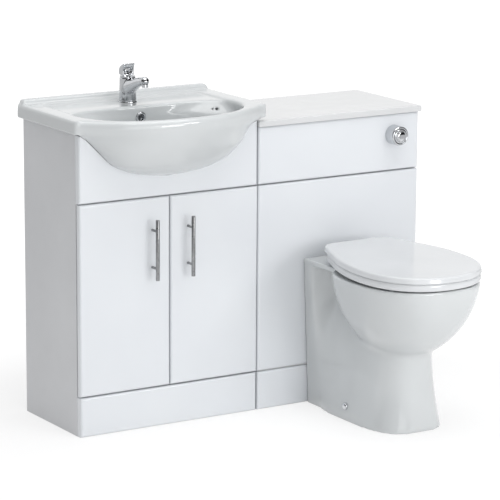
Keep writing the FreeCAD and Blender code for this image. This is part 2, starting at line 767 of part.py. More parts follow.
# Moulded blocks in the inner corners, and steel brackets for the wall screws
joint_size = 22.0
joint_blocks = []
for x in (inner_left, inner_right - joint_size):
    for y in (y_carcass + 70, y_wall - 90):
        joint_blocks.append(block(x, x + joint_size, y, y + 40, base_top, base_top + joint_size))
for x in (wc_inner_left, wc_inner_right - joint_size):
    for y in (y_cistern + 10, y_cistern + cistern_depth - 50):
        z = shelf_low - joint_size
        joint_blocks.append(block(x, x + joint_size, y, y + 40, z, z + joint_size))
parts["joint_blocks"] = Part.makeCompound(joint_blocks)
bracket_width = 40.0
bracket_sheet = 2.0
bracket_below_rail = 30.0
bracket_hole = 3.5
brackets = []
vanity_bracket = vanity_height - rail_height - bracket_below_rail
wc_bracket = wc_height - rail_height - bracket_below_rail
bracket_places = (
    (inner_left, 1, vanity_bracket),
    (inner_right, -1, vanity_bracket),
    (wc_inner_left, 1, wc_bracket),
    (wc_inner_right, -1, wc_bracket),
)
for x, side, z in bracket_places:
    across = sorted((x, x + side * bracket_width))
    along = sorted((x, x + side * bracket_sheet))
    z0 = z - bracket_width / 2
    z1 = z + bracket_width / 2
    bracket = block(across[0], across[1], y_wall - bracket_sheet, y_wall, z0, z1)
    bracket = bracket.fuse(block(along[0], along[1], y_wall - bracket_width, y_wall, z0, z1))
    x_hole = x + side * bracket_width / 2
    brackets.append(bracket.cut(rod(x_hole, y_wall - 5, z, bracket_hole, 10, Y)))
parts["wall_brackets"] = Part.makeCompound(brackets)

# Flush button: a chrome bezel on a sleeve through the fascia, two half buttons that push in, and a back nut
y_bezel = y_face - bezel_projection
bezel_profile = (
    (0.0, 0.0),
    (bezel_base_radius, 0.0),
    (bezel_base_radius, 2.0),
    (bezel_waist_radius + 1.5, 0.42 * bezel_projection),
    (bezel_waist_radius, 0.48 * bezel_projection),
    (bezel_front_radius, 0.54 * bezel_projection),
    (bezel_front_radius, bezel_projection - 2.0),
    (bezel_front_radius - 1.5, bezel_projection),
    (0.0, bezel_projection),
)
points = [V(x_button + radius, y_face - out, button_height) for radius, out in bezel_profile]
bezel = Part.Face(Part.makePolygon(points + points[:1]))
bezel = bezel.revolve(V(x_button, y_face, button_height), Y, 360)
bezel = bezel.fuse(rod(x_button, y_face, button_height, sleeve_radius, front_thickness + sleeve_length, Y))
bezel = bezel.cut(rod(x_button, y_bezel - 5, button_height, button_radius + button_fit, 200, Y))
stop_depth = y_bezel + bezel_projection + 6
stop = tube(x_button, stop_depth, button_height, button_radius + button_fit + 0.5, 4, 4, Y)
parts["flush_bezel"] = bezel.fuse(stop)
y_button = y_bezel - button_proud
button_length = stop_depth - y_button - button_travel - 1.0
cap = rod(x_button, y_button, button_height, button_radius, button_length, Y)
cap = cap.makeFillet(2.0, edges_on(cap, 1, y_button))
split_gap = 0.5
split_offset = 5.0
x_part = x_button - split_offset
cut_reach = 2 * button_radius
cut_low = button_height - cut_reach
cut_high = button_height + cut_reach
right_of_split = block(x_part - split_gap / 2, x_button + cut_reach, y_button, y_wall, cut_low, cut_high)
left_of_split = block(x_button - cut_reach, x_part + split_gap / 2, y_button, y_wall, cut_low, cut_high)
parts["half_flush_button"] = cap.cut(right_of_split)
parts["full_flush_button"] = cap.cut(left_of_split)
parts["flush_button_nut"] = tube(x_button, y_carcass, button_height, sleeve_radius + 9, 9 - 0.1, 8, Y)

# Cistern: an open tank with a lid, a fill valve with a float, a flush valve, and the flush pipe to the pan
tank_left = x_pan - cistern_width / 2
tank_right = x_pan + cistern_width / 2
tank_top = cistern_base + cistern_height
tank = block(tank_left, tank_right, y_cistern, y_cistern + cistern_depth, cistern_base, tank_top)
tank = tank.makeFillet(12.0, [e for e in tank.Edges if e.BoundBox.ZLength > cistern_height / 2])
tank_floor = cistern_base + cistern_wall
tank = tank.cut(
    block(
        tank_left + cistern_wall,
        tank_right - cistern_wall,
        y_cistern + cistern_wall,
        y_cistern + cistern_depth - cistern_wall,
        tank_floor,
        tank_top + 1,
    )
)
valve_tail_radius = 10.0
valve_shank_radius = 9.0
x_valve = tank_left + 60.0
tank = tank.cut(rod(x_pan, y_pipe, cistern_base - 1, flush_pipe_radius + 0.2, 10, Z))
y_fill = y_pipe
z_fill_inlet = tank_top - 60.0
parts["cistern_tank"] = tank.cut(
    rod(tank_left - 1, y_fill, z_fill_inlet, valve_shank_radius + 0.2, cistern_wall + 2, X)
)
cover_back = y_cistern + cistern_depth + 3
cover = block(tank_left - 3, tank_right + 3, y_cistern - 3, cover_back, tank_top + 0.2, tank_top + 5.2)
parts["cistern_lid"] = cover.makeFillet(8.0, [e for e in cover.Edges if e.BoundBox.ZLength > 4])
inlet_tail = 22.0
float_height = 70.0
float_top = z_fill_inlet - 18.0 - float_travel
float_low = float_top - float_height
riser_radius = 8.0
fill = rod(tank_left - inlet_tail, y_fill, z_fill_inlet, valve_tail_radius, inlet_tail, X)
fill = fill.fuse(rod(tank_left, y_fill, z_fill_inlet, valve_shank_radius, x_valve - tank_left, X))
fill = fill.fuse(rod(x_valve, y_fill, tank_floor + 8, riser_radius, z_fill_inlet - tank_floor + 12, Z))
fill = fill.fuse(rod(x_valve, y_fill, float_low - 4.3, riser_radius + 3, 4, Z))
fill = fill.fuse(rod(x_valve, y_fill, z_fill_inlet - 14, 15, 28, Z))
parts["fill_valve"] = fill.cut(rod(tank_left - inlet_tail - 1, y_fill, z_fill_inlet, 5, 24, X))
float_radius = 26.0
float_wall = float_radius - riser_radius - tap_fit
parts["fill_float"] = tube(x_valve, y_fill, float_low, float_radius, float_wall, float_height, Z)
tower = rod(x_pan, y_pipe, tank_floor, 34, 110, Z)
tower = tower.fuse(rod(x_pan, y_pipe, tank_floor + 110, 16, 120, Z))
tower = tower.fuse(rod(x_pan, y_pipe, tank_floor + 196, 28, 30, Z))
tower = tower.cut(rod(x_pan, y_pipe, tank_floor - 1, flush_pipe_radius - flush_pipe_wall, 60, Z))
parts["flush_valve"] = tower
pipe_inset = 34.0
y_pan_back = y_face - pan_gap
pipe_turn = 40.0
riser_low = flush_pipe_height + pipe_turn
runner_start = y_pan_back - pipe_inset


def pipe_run(radius):
    """The flush pipe's solid at a radius: down from the cistern, round a bend, and forward into the pan."""
    riser = rod(x_pan, y_pipe, riser_low, radius, tank_floor - riser_low, Z)
    runner = rod(x_pan, runner_start, flush_pipe_height, radius, y_pipe - pipe_turn - runner_start, Y)
    circle = Part.makeCircle(radius, V(x_pan, y_pipe, riser_low), Z)
    face = Part.Face(Part.Wire([circle]))
    bend = face.revolve(V(x_pan, y_pipe - pipe_turn, riser_low), X, -90)
    return riser.fuse(bend).fuse(runner)


flush_pipe = pipe_run(flush_pipe_radius)
parts["flush_pipe"] = flush_pipe.cut(pipe_run(flush_pipe_radius - flush_pipe_wall))

# Pan: a column and a ledge against the panel, a half-egg bowl, and a pedestal that flares to a long foot
y_widest = y_face - bowl_centre_reach


def column_outline(half, depth, z):
    """The level outline of the column, at a height."""
    points = [
        V(x_pan - half, y_pan_back, z),
        V(x_pan + half, y_pan_back, z),
        V(x_pan + half, y_pan_back - depth, z),
        V(x_pan - half, y_pan_back - depth, z),
    ]
    return Part.makePolygon(points + points[:1])


column = Part.makeLoft(
    [
        column_outline(column_foot_half, column_depth, 0),
        column_outline(column_top_half, column_depth, ledge_height),
    ],
    True,
    True,
)
ledge = block(
    x_pan - column_top_half,
    x_pan + column_top_half,
    y_face - ledge_reach,
    y_pan_back,
    ledge_height - ledge_thickness,
    ledge_height,
)
column = column.fuse(ledge)


def pedestal_outline(z, half, reach, power):
    """A level outline of the pedestal, which runs on past the panel's plane."""
    return egg(x_pan, y_face - 200, half, y_face - reach, y_face + 120, z, power, 2.6)


def pedestal(wall, low, high):
    """The pedestal as a solid between two heights, drawn in all round by a wall."""
    flare = foot_half_width - neck_half_width
    step = foot_reach - neck_reach
    wires = []
    for share in (0.0, 0.25, 0.5, 0.75, 1.0):
        z = low + share * (high - low)
        rest = max(1 - z / neck_height, 0.0)
        half = neck_half_width + flare * rest ** 1.5
        reach = neck_reach + step * rest ** 1.5
        wires.append(pedestal_outline(z, half - wall, reach - wall, 2.6 + 0.4 * rest))
    return loft(wires)


def half_egg(half, front, rear, depth, shares):
    """A bowl's solid below the rim, whose levels shrink almost as an ellipse does."""
    wires = []
    for share in shares:
        size = (1 - share**pan_bowl_power) ** (1 / pan_bowl_power)
        wires.append(
            egg(
                x_pan,
                y_widest,
                half * size,
                y_widest - front * size,
                y_widest + rear * size,
                ledge_height - share * depth,
                2.5,
                2.6,
            )
        )
    return loft(wires)


outer_shares = (0.98, 0.93, 0.82, 0.66, 0.46, 0.24, 0.0)
bowl = half_egg(rim_half_width, pan_bowl_front, pan_bowl_rear, pan_bowl_depth, outer_shares)
stand = pedestal(0.0, 0.0, ledge_height - ledge_thickness + 4.0)
stand = stand.cut(block(x_pan - 300, x_pan + 300, y_pan_back, y_wall, -10, ledge_height))
pan = column.fuse(stand)
pan = pan.fuse(bowl)

# Hollow of the bowl with its sump, the hollow foot and column, and the two connections at the back
inner_half = rim_half_width - rim_width
inner_front = pan_bowl_front - rim_width - 12.0
inner_rear = pan_bowl_rear - 0.75 * rim_width
pan = pan.cut(
    half_egg(inner_half, inner_front, inner_rear, 0.86 * pan_bowl_depth, (0.96, 0.88, 0.72, 0.5, 0.25, 0.0))
)
sump_low = ledge_height - sump_depth
pan = pan.cut(rod(x_pan, y_widest + 20, sump_low, 42.0, 0.5 * pan_bowl_depth, Z))
pan = pan.cut(pedestal(pan_wall, -1.0, sump_low - pan_wall))
pan = pan.cut(
    block(
        x_pan - soil_radius - pan_wall,
        x_pan + soil_radius + pan_wall,
        y_pan_back - hollow_depth,
        y_pan_back + 1,
        -1,
        ledge_height - ledge_thickness - 30,
    )
)
soil_front = y_pan_back - hollow_depth - 10
soil_rear = y_carcass + soil_length
soil_neck = y_carcass + 8.0
pan = pan.fuse(rod(x_pan, soil_front, soil_height, soil_radius - 1.5, soil_rear - soil_front, Y))
pan = pan.fuse(rod(x_pan, soil_neck, soil_height, soil_radius, soil_rear - soil_neck, Y))
pan = pan.cut(rod(x_pan, soil_front + 12, soil_height, soil_radius - soil_wall, soil_rear - soil_front, Y))
pan = pan.fuse(rod(x_pan, y_pan_back - 60, flush_pipe_height, flush_pipe_radius + 8, 60, Y))
pan = pan.cut(rod(x_pan, y_pan_back - 48, flush_pipe_height, flush_pipe_radius + 0.3, 60, Y))
y_cap = y_face - screw_cap_reach
caps = []
cap_reach = foot_half_width - 8.0
for side in (-1, 1):
    direction = X * side
    pan = pan.cut(rod(x_pan + side * (cap_reach - 20), y_cap, screw_cap_height, 4.0, 60, direction))
    cap = rod(x_pan + side * (cap_reach - 6), y_cap, screw_cap_height, 3.7, 12, direction)
    x_cap = x_pan + side * (cap_reach + 4)
    cap = cap.fuse(rod(x_cap, y_cap, screw_cap_height, screw_cap_radius, 7, direction))
    caps.append(cap)
parts["pan"] = pan
parts["pan_screw_caps"] = Part.makeCompound([cap.cut(pan) for cap in caps])

# Seat and lid: round-fronted plates, tipped down to the front, that turn on pins in two posts behind the bowl
y_axis = y_face - hinge_axis_reach
z_axis = ledge_height + hinge_axis_rise
seat_low = ledge_height + seat_rise
seat_high = seat_low + seat_thickness
lid_low = seat_high + lid_gap
lid_high = lid_low + lid_thickness


lid_rear = hinge_axis_reach - 9.0
cover_run = cover_centre_reach - lid_rear
y_cover = y_face - cover_centre_reach
cover_slope = (lid_half_width - cover_rear_half) / (cover_run * (1 - cover_bend / 2))


def draw_in(behind):
    """How far a side of the lid or the seat has drawn in, a distance behind its widest place."""
    bend = cover_bend * cover_run
    if behind < bend:
        return cover_slope * behind**2 / (2 * bend)
    return cover_slope * (behind - bend / 2)


def plate(rear, half, low, high, reach):
    """A flat plate with a round front, and sides that draw in to a straight rear edge with round corners."""
    front = reach - cover_centre_reach
    behind = cover_centre_reach - rear
    turn = math.atan(cover_slope)
    corner = half - draw_in(behind) - cover_corner_radius * math.tan(math.pi / 4 - turn / 2)
    corner_start = behind - cover_corner_radius * (1 - math.sin(turn))
    right = []
    for step in range(1, 12):
        angle = math.pi / 2 * (step / 11)
        across = half * math.sin(angle) ** (2 / cover_power)
        right.append((across, -front * math.cos(angle) ** (2 / cover_power)))
    for step in range(1, 8):
        y = corner_start * step / 8
        right.append((half - draw_in(y), y))
    for step in range(6):
        angle = turn + (math.pi / 2 - turn) * step / 5
        y = behind - cover_corner_radius + cover_corner_radius * math.sin(angle)
        right.append((corner + cover_corner_radius * math.cos(angle), y))
    right.append((corner / 2, behind))
    outline = [(0.0, -front)] + right + [(0.0, behind)] + [(-x, y) for x, y in reversed(right)]
    curve = Part.BSplineCurve()
    curve.interpolate([V(x_pan + x, y_cover + y, low) for x, y in outline], PeriodicFlag=True)
    return Part.Face(Part.Wire([curve.toShape()])).extrude(V(0, 0, high - low))


def tipped(shape):
    """The shape turned about the hinge axis, so that it falls to the front."""
    turned = shape.copy()
    turned.rotate(V(x_pan, y_axis, z_axis), X, seat_slope)
    return turned


seat_rear = hinge_axis_reach + hinge_barrel_radius + 5.0
slope = math.radians(seat_slope)
lid_brow = lid_high - lid_edge_radius - z_axis
lid_run = pan_projection - hinge_axis_reach - lid_brow * math.sin(slope)
lid_reach = hinge_axis_reach + lid_run / math.cos(slope)
lid_plate = plate(lid_rear, lid_half_width, lid_low, lid_high, lid_reach)
lid_plate = lid_plate.makeFillet(lid_edge_radius, edges_on(lid_plate, 2, lid_high))
seat_plate = plate(seat_rear, lid_half_width - 1, seat_low, seat_high, lid_reach - 1)
seat_plate = seat_plate.makeFillet(4.0, edges_on(seat_plate, 2, seat_low))
hole_front = y_face - lid_reach + seat_border
hole_rear = y_face - hinge_axis_reach - seat_bridge
y_hole = (hole_front + hole_rear) / 2
seat_hole = egg(x_pan, y_hole, seat_hole_half, hole_front, hole_rear, seat_low - 1, 2.1, 2.2)
seat_plate = seat_plate.cut(Part.Face(seat_hole).extrude(V(0, 0, seat_thickness + 2)))
lug_gap = 0.6
lug_radius = hinge_barrel_radius
for side in (-1, 1):
    x_post = x_pan + side * hinge_post_offset
    seat_edge = x_post - side * (hinge_barrel_length / 2 + lug_gap)
    lid_edge = x_post + side * (hinge_barrel_length / 2 + lug_gap)
    seat_lug = rod(seat_edge, y_axis, z_axis, lug_radius, seat_lug_length, -X * side)
    seat_span = sorted((seat_edge, seat_edge - side * seat_lug_length))
    seat_lug = seat_lug.fuse(
        block(seat_span[0], seat_span[1], y_face - seat_rear - 24, y_axis, z_axis, seat_low + 6)
    )
    lid_lug = rod(lid_edge, y_axis, z_axis, lug_radius, seat_lug_length, X * side)
    lid_span = sorted((lid_edge, lid_edge + side * seat_lug_length))
    lid_lug = lid_lug.fuse(
        block(lid_span[0], lid_span[1], y_axis - lug_radius, y_axis + lug_radius, z_axis, lid_low + 2)
    )
    seat_plate = seat_plate.fuse(seat_lug)
    lid_plate = lid_plate.fuse(lid_lug)
    lid_clear = block(
        lid_span[0] - 0.6, lid_span[1] + 0.6, y_face - seat_rear - 8, y_axis, seat_low - 20, seat_high + 0.1
    )
    seat_plate = seat_plate.cut(lid_clear)
bore = rod(x_pan - 120, y_axis, z_axis, seat_pin_radius + seat_pin_fit, 240, X)
parts["seat"] = tipped(seat_plate.cut(bore))
parts["lid"] = tipped(lid_plate.cut(bore))
hinge_posts = []
for side in (-1, 1):
    x_post = x_pan + side * hinge_post_offset
    post = rod(x_post, y_axis, ledge_height, 9.0, hinge_axis_rise, Z)
    barrel_start = x_post - hinge_barrel_length / 2
    post = post.fuse(rod(barrel_start, y_axis, z_axis, hinge_barrel_radius, hinge_barrel_length, X))
    pin_length = hinge_barrel_length + 2 * (lug_gap + seat_lug_length - 1)
    pin_start = x_post - pin_length / 2
    hinge_posts.append(post.fuse(rod(pin_start, y_axis, z_axis, seat_pin_radius, pin_length, X)))
parts["seat_hinge_posts"] = Part.makeCompound(hinge_posts)

# Rubber buffers under the seat and under the lid
buffer_radius = 6.0
seat_buffers = []
lid_buffers = []
for side in (-1, 1):
    for reach in (250.0, 430.0):
        x = x_pan + side * 0.5 * (seat_hole_half + lid_half_width) * (1.0 if reach < 300 else 0.93)
        y = y_face - reach
        foot = ledge_height + 0.3 - seat_low + math.tan(slope) * (reach - hinge_axis_reach)
        foot = min(foot, -1.0)
        seat_buffers.append(tipped(rod(x, y, seat_low + foot, buffer_radius, -foot, Z)))
        lid_buffers.append(tipped(rod(x, y, seat_high + 0.1, buffer_radius, lid_gap - 0.1, Z)))
parts["seat_buffers"] = Part.makeCompound(seat_buffers)
parts["lid_buffers"] = Part.makeCompound(lid_buffers)

os.makedirs("parts", exist_ok=True)
for name in sorted(parts):
    parts[name].exportStep("parts/" + name + ".step")
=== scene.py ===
import json
import math
import bmesh
import bpy
from mathutils import Matrix, Vector
from mathutils.kdtree import KDTree


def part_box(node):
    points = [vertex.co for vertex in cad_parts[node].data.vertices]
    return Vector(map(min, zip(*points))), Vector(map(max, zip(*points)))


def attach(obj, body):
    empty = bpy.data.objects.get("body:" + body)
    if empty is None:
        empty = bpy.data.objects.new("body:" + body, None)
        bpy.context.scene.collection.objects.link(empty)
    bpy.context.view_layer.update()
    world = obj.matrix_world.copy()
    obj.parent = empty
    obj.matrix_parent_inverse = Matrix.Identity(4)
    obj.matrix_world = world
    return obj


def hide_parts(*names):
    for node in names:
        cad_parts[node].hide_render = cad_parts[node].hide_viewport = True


# White bathroom suite: basin cabinet, cistern cabinet and back-to-wall pan, on a white studio floor.
# Metres, X to the right, Y from the front to the wall, Z up from the floor.

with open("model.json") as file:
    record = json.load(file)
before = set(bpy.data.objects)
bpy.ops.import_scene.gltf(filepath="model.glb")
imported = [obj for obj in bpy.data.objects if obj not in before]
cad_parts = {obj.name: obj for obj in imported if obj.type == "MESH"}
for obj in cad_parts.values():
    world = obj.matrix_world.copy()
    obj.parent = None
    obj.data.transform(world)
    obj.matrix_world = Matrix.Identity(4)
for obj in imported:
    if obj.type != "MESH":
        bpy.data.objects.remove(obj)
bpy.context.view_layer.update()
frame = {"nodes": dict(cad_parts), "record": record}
nodes = frame["nodes"]

mm = 0.001


def measure(value):
    """A place or a size that the solids give, to a hundredth of a millimetre."""
    return round(value, 5)


# Places that the solids give
basin_low, basin_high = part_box("basin")
pan_low, pan_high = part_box("pan")
overflow_low, overflow_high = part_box("overflow_ring")
x_basin = measure((basin_low[0] + basin_high[0]) / 2)
x_pan = measure((pan_low[0] + pan_high[0]) / 2)
y_face = measure(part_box("wc_fascia")[0][1])
y_wall = measure(basin_high[1])
vanity_top = measure(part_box("vanity_left_side")[1][2])
upstand_top = measure(basin_high[2])
upstand_rise = 0.013
deck_top = measure(upstand_top - upstand_rise)

# Axes that round pieces are turned about
upward = (0, 0, 1)
to_wall = (0, 1, 0)
to_front = (0, -1, 0)

# Camera where the photograph was taken from
camera_place = Vector((-3.6260, -5.7593, 1.9391))
camera_yaw = math.radians(31.6686)
camera_pitch = math.radians(12.3432)
camera_roll = math.radians(0.3092)
camera_lens = 197.2
camera_sensor = 36


def make_camera():
    """A long lens that looks down at the suite from the front left."""
    forward = Vector(
        (
            math.sin(camera_yaw) * math.cos(camera_pitch),
            math.cos(camera_yaw) * math.cos(camera_pitch),
            -math.sin(camera_pitch),
        )
    )
    level = Vector((math.cos(camera_yaw), -math.sin(camera_yaw), 0))
    upright = level.cross(forward)
    right = level * math.cos(camera_roll) + upright * math.sin(camera_roll)
    up = upright * math.cos(camera_roll) - level * math.sin(camera_roll)
    bpy.ops.object.camera_add()
    camera = bpy.context.object
    camera.name = "photo_camera"
    camera.data.sensor_width = camera_sensor
    camera.data.lens = camera_lens
    camera.data.clip_end = 100
    camera.matrix_world = Matrix(
        (
            (right.x, up.x, -forward.x, camera_place.x),
            (right.y, up.y, -forward.y, camera_place.y),
            (right.z, up.z, -forward.z, camera_place.z),
            (0, 0, 0, 1),
        )
    )
    bpy.context.scene.camera = camera


def linear(code):
    """An sRGB hex colour as linear red, green, blue and alpha."""
    channels = []
    for start in (0, 2, 4):
        value = int(code[start : start + 2], 16) / 255
        channels.append(value / 12.92 if value <= 0.04045 else ((value + 0.055) / 1.055) ** 2.4)
    return (*channels, 1)


def add(tree, kind, settings=None, links=None):
    """Adds a node, sets its properties and inputs, and links outputs of other nodes into its inputs."""
    made = tree.nodes.new(kind)
    for name, value in (settings or {}).items():
        if isinstance(name, int) or name in made.inputs.keys():
            made.inputs[name].default_value = value
        else:
            setattr(made, name, value)
    for name, source in (links or {}).items():
        tree.links.new(source, made.inputs[name])
    return made


# The range that a noise pattern keeps to for the most part
noise_low = 0.3
noise_high = 0.7


def start_material(name):
    """A new material with its tree, its surface shader and the object's own coordinates."""
    material = bpy.data.materials.new(name)
    material.use_nodes = True
    tree = material.node_tree
    surface = tree.nodes["Principled BSDF"]
    place = add(tree, "ShaderNodeTexCoord").outputs["Object"]
    return material, tree, surface, place


def gloss_film(name, dark, light):
    """High-gloss film pressed on fibreboard: a clear, almost mirror-like skin with a faint orange peel."""
    material, tree, surface, place = start_material(name)
    # The board's tone drifts over a third of a metre
    clouds = add(tree, "ShaderNodeTexNoise", {"Scale": 1 / (330 * mm), "Detail": 3.0}, {"Vector": place})
    share = add(
        tree,
        "ShaderNodeMapRange",
        {"From Min": noise_low, "From Max": noise_high},
        {"Value": clouds.outputs["Fac"]},
    )
    colour = add(
        tree,
        "ShaderNodeMix",
        {"data_type": "RGBA", 6: linear(dark), 7: linear(light)},
        {0: share.outputs["Result"]},
    )
    tree.links.new(colour.outputs[2], surface.inputs["Base Color"])
    # Wiping leaves the shine uneven by the width of a hand
    wiped = add(tree, "ShaderNodeTexNoise", {"Scale": 1 / (70 * mm), "Detail": 2.0}, {"Vector": place})
    polish = add(
        tree,
        "ShaderNodeMapRange",
        {"From Min": noise_low, "From Max": noise_high, "To Min": 0.14, "To Max": 0.24},
        {"Value": wiped.outputs["Fac"]},
    )
    tree.links.new(polish.outputs["Result"], surface.inputs["Roughness"])
    # Orange peel, 6 mm from crest to crest
    peel = add(tree, "ShaderNodeTexNoise", {"Scale": 1 / (6 * mm), "Detail": 2.0}, {"Vector": place})
    relief = add(
        tree,
        "ShaderNodeBump",
        {"Strength": 0.02, "Distance": 1 * mm},
        {"Height": peel.outputs["Fac"]},
    )
    tree.links.new(relief.outputs["Normal"], surface.inputs["Normal"])
    surface.inputs["IOR"].default_value = 1.5
    surface.inputs["Coat Weight"].default_value = 0.3
    surface.inputs["Coat Roughness"].default_value = 0.08
    return material


def melamine():
    """White melamine-faced chipboard: a hard satin paper with a fine pearl grain."""
    material, tree, surface, place = start_material("white_melamine_board")
    # The paper's tone drifts over a quarter of a metre
    clouds = add(tree, "ShaderNodeTexNoise", {"Scale": 1 / (250 * mm), "Detail": 3.0}, {"Vector": place})
    share = add(
        tree,
        "ShaderNodeMapRange",
        {"From Min": noise_low, "From Max": noise_high},
        {"Value": clouds.outputs["Fac"]},
    )
    colour = add(
        tree,
        "ShaderNodeMix",
        {"data_type": "RGBA", 6: linear("CDCED0"), 7: linear("D3D4D6")},
        {0: share.outputs["Result"]},
    )
    tree.links.new(colour.outputs[2], surface.inputs["Base Color"])
    # The press leaves the sheen uneven over 33 mm
    pressed = add(tree, "ShaderNodeTexNoise", {"Scale": 1 / (33 * mm), "Detail": 2.0}, {"Vector": place})
    polish = add(
        tree,
        "ShaderNodeMapRange",
        {"From Min": noise_low, "From Max": noise_high, "To Min": 0.34, "To Max": 0.46},
        {"Value": pressed.outputs["Fac"]},
    )
    tree.links.new(polish.outputs["Result"], surface.inputs["Roughness"])
    # Pearl grain, really about 0.3 mm, drawn at 1.1 mm so that it shows
    pearl = add(tree, "ShaderNodeTexNoise", {"Scale": 1 / (1.1 * mm), "Detail": 2.0}, {"Vector": place})
    relief = add(
        tree,
        "ShaderNodeBump",
        {"Strength": 0.06, "Distance": 0.3 * mm},
        {"Height": pearl.outputs["Fac"]},
    )
    tree.links.new(relief.outputs["Normal"], surface.inputs["Normal"])
    surface.inputs["IOR"].default_value = 1.5
    return material


def glaze():
    """Vitreous china under a thick white glaze: sharp reflections over a body that wanders a little."""
    material, tree, surface, place = start_material("glazed_vitreous_china")
    # The fired body's tone drifts over 200 mm
    clouds = add(tree, "ShaderNodeTexNoise", {"Scale": 1 / (200 * mm), "Detail": 3.0}, {"Vector": place})
    share = add(
        tree,
        "ShaderNodeMapRange",
        {"From Min": noise_low, "From Max": noise_high},
        {"Value": clouds.outputs["Fac"]},
    )
    colour = add(
        tree,
        "ShaderNodeMix",
        {"data_type": "RGBA", 6: linear("C7CACB"), 7: linear("CDD0D1")},
        {0: share.outputs["Result"]},
    )
    tree.links.new(colour.outputs[2], surface.inputs["Base Color"])
    # The glaze runs thick and thin over 40 mm
    runs = add(tree, "ShaderNodeTexNoise", {"Scale": 1 / (40 * mm), "Detail": 2.0}, {"Vector": place})
    polish = add(
        tree,
        "ShaderNodeMapRange",
        {"From Min": noise_low, "From Max": noise_high, "To Min": 0.07, "To Max": 0.13},
        {"Value": runs.outputs["Fac"]},
    )
    tree.links.new(polish.outputs["Result"], surface.inputs["Roughness"])
    # The glaze pools in waves about 22 mm long
    pools = add(tree, "ShaderNodeTexNoise", {"Scale": 1 / (22 * mm), "Detail": 2.0}, {"Vector": place})
    relief = add(
        tree,
        "ShaderNodeBump",
        {"Strength": 0.02, "Distance": 2 * mm},
        {"Height": pools.outputs["Fac"]},
    )
    tree.links.new(relief.outputs["Normal"], surface.inputs["Normal"])
    surface.inputs["IOR"].default_value = 1.52
    surface.inputs["Coat Weight"].default_value = 0.4
    surface.inputs["Coat Roughness"].default_value = 0.04
    return material


def urea():
    """Moulded urea, a hard white thermoset: warmer and a little softer in its shine than the glaze."""
    material, tree, surface, place = start_material("moulded_urea")
    # The resin's tone drifts over 200 mm
    clouds = add(tree, "ShaderNodeTexNoise", {"Scale": 1 / (200 * mm), "Detail": 3.0}, {"Vector": place})
    share = add(
        tree,
        "ShaderNodeMapRange",
        {"From Min": noise_low, "From Max": noise_high},
        {"Value": clouds.outputs["Fac"]},
    )
    colour = add(
        tree,
        "ShaderNodeMix",
        {"data_type": "RGBA", 6: linear("CFD1D3"), 7: linear("D4D6D8")},
        {0: share.outputs["Result"]},
    )
    tree.links.new(colour.outputs[2], surface.inputs["Base Color"])
    # The mould's polish varies over 50 mm
    mould = add(tree, "ShaderNodeTexNoise", {"Scale": 1 / (50 * mm), "Detail": 2.0}, {"Vector": place})
    polish = add(
        tree,
        "ShaderNodeMapRange",
        {"From Min": noise_low, "From Max": noise_high, "To Min": 0.06, "To Max": 0.1},
        {"Value": mould.outputs["Fac"]},
    )
    tree.links.new(polish.outputs["Result"], surface.inputs["Roughness"])
    # Shrinkage leaves waves about 17 mm long
    shrinkage = add(tree, "ShaderNodeTexNoise", {"Scale": 1 / (17 * mm), "Detail": 2.0}, {"Vector": place})
    relief = add(
        tree,
        "ShaderNodeBump",
        {"Strength": 0.015, "Distance": 2 * mm},
        {"Height": shrinkage.outputs["Fac"]},
    )
    tree.links.new(relief.outputs["Normal"], surface.inputs["Normal"])
    surface.inputs["IOR"].default_value = 1.54
    return material


def chrome():
    """Chrome plate on polished brass: a bright mirror with a faint haze of water marks."""
    material, tree, surface, place = start_material("chrome_plate")
    # Water marks about 17 mm across
    clouds = add(tree, "ShaderNodeTexNoise", {"Scale": 1 / (17 * mm), "Detail": 3.0}, {"Vector": place})
    share = add(
        tree,
        "ShaderNodeMapRange",
        {"From Min": noise_low, "From Max": noise_high},
        {"Value": clouds.outputs["Fac"]},
    )
    colour = add(
        tree,
        "ShaderNodeMix",
        {"data_type": "RGBA", 6: linear("C8CACD"), 7: linear("D4D6D9")},
        {0: share.outputs["Result"]},
    )
    tree.links.new(colour.outputs[2], surface.inputs["Base Color"])
    # The buffing wheel's passes, 11 mm wide
    buffed = add(tree, "ShaderNodeTexNoise", {"Scale": 1 / (11 * mm), "Detail": 2.0}, {"Vector": place})
    polish = add(
        tree,
        "ShaderNodeMapRange",
        {"From Min": noise_low, "From Max": noise_high, "To Min": 0.02, "To Max": 0.06},
        {"Value": buffed.outputs["Fac"]},
    )
    tree.links.new(polish.outputs["Result"], surface.inputs["Roughness"])
    surface.inputs["Metallic"].default_value = 1.0
    return material


def zinc_steel():
    """Zinc-plated pressed steel: a dull grey metal with a cloudy crystal bloom."""
    material, tree, surface, place = start_material("zinc_plated_steel")
    # Zinc bloom about 12 mm across
    clouds = add(tree, "ShaderNodeTexNoise", {"Scale": 1 / (12.5 * mm), "Detail": 3.0}, {"Vector": place})
    share = add(
        tree,
        "ShaderNodeMapRange",
        {"From Min": noise_low, "From Max": noise_high},
        {"Value": clouds.outputs["Fac"]},
    )
    colour = add(
        tree,
        "ShaderNodeMix",
        {"data_type": "RGBA", 6: linear("A9ACB0"), 7: linear("C3C6C9")},
        {0: share.outputs["Result"]},
    )
    tree.links.new(colour.outputs[2], surface.inputs["Base Color"])
    # The plating dulls in spots of 8 mm
    dulled = add(tree, "ShaderNodeTexNoise", {"Scale": 1 / (8.3 * mm), "Detail": 2.0}, {"Vector": place})
    polish = add(
        tree,
        "ShaderNodeMapRange",
        {"From Min": noise_low, "From Max": noise_high, "To Min": 0.28, "To Max": 0.45},
        {"Value": dulled.outputs["Fac"]},
    )
    tree.links.new(polish.outputs["Result"], surface.inputs["Roughness"])
    surface.inputs["Metallic"].default_value = 1.0
    return material


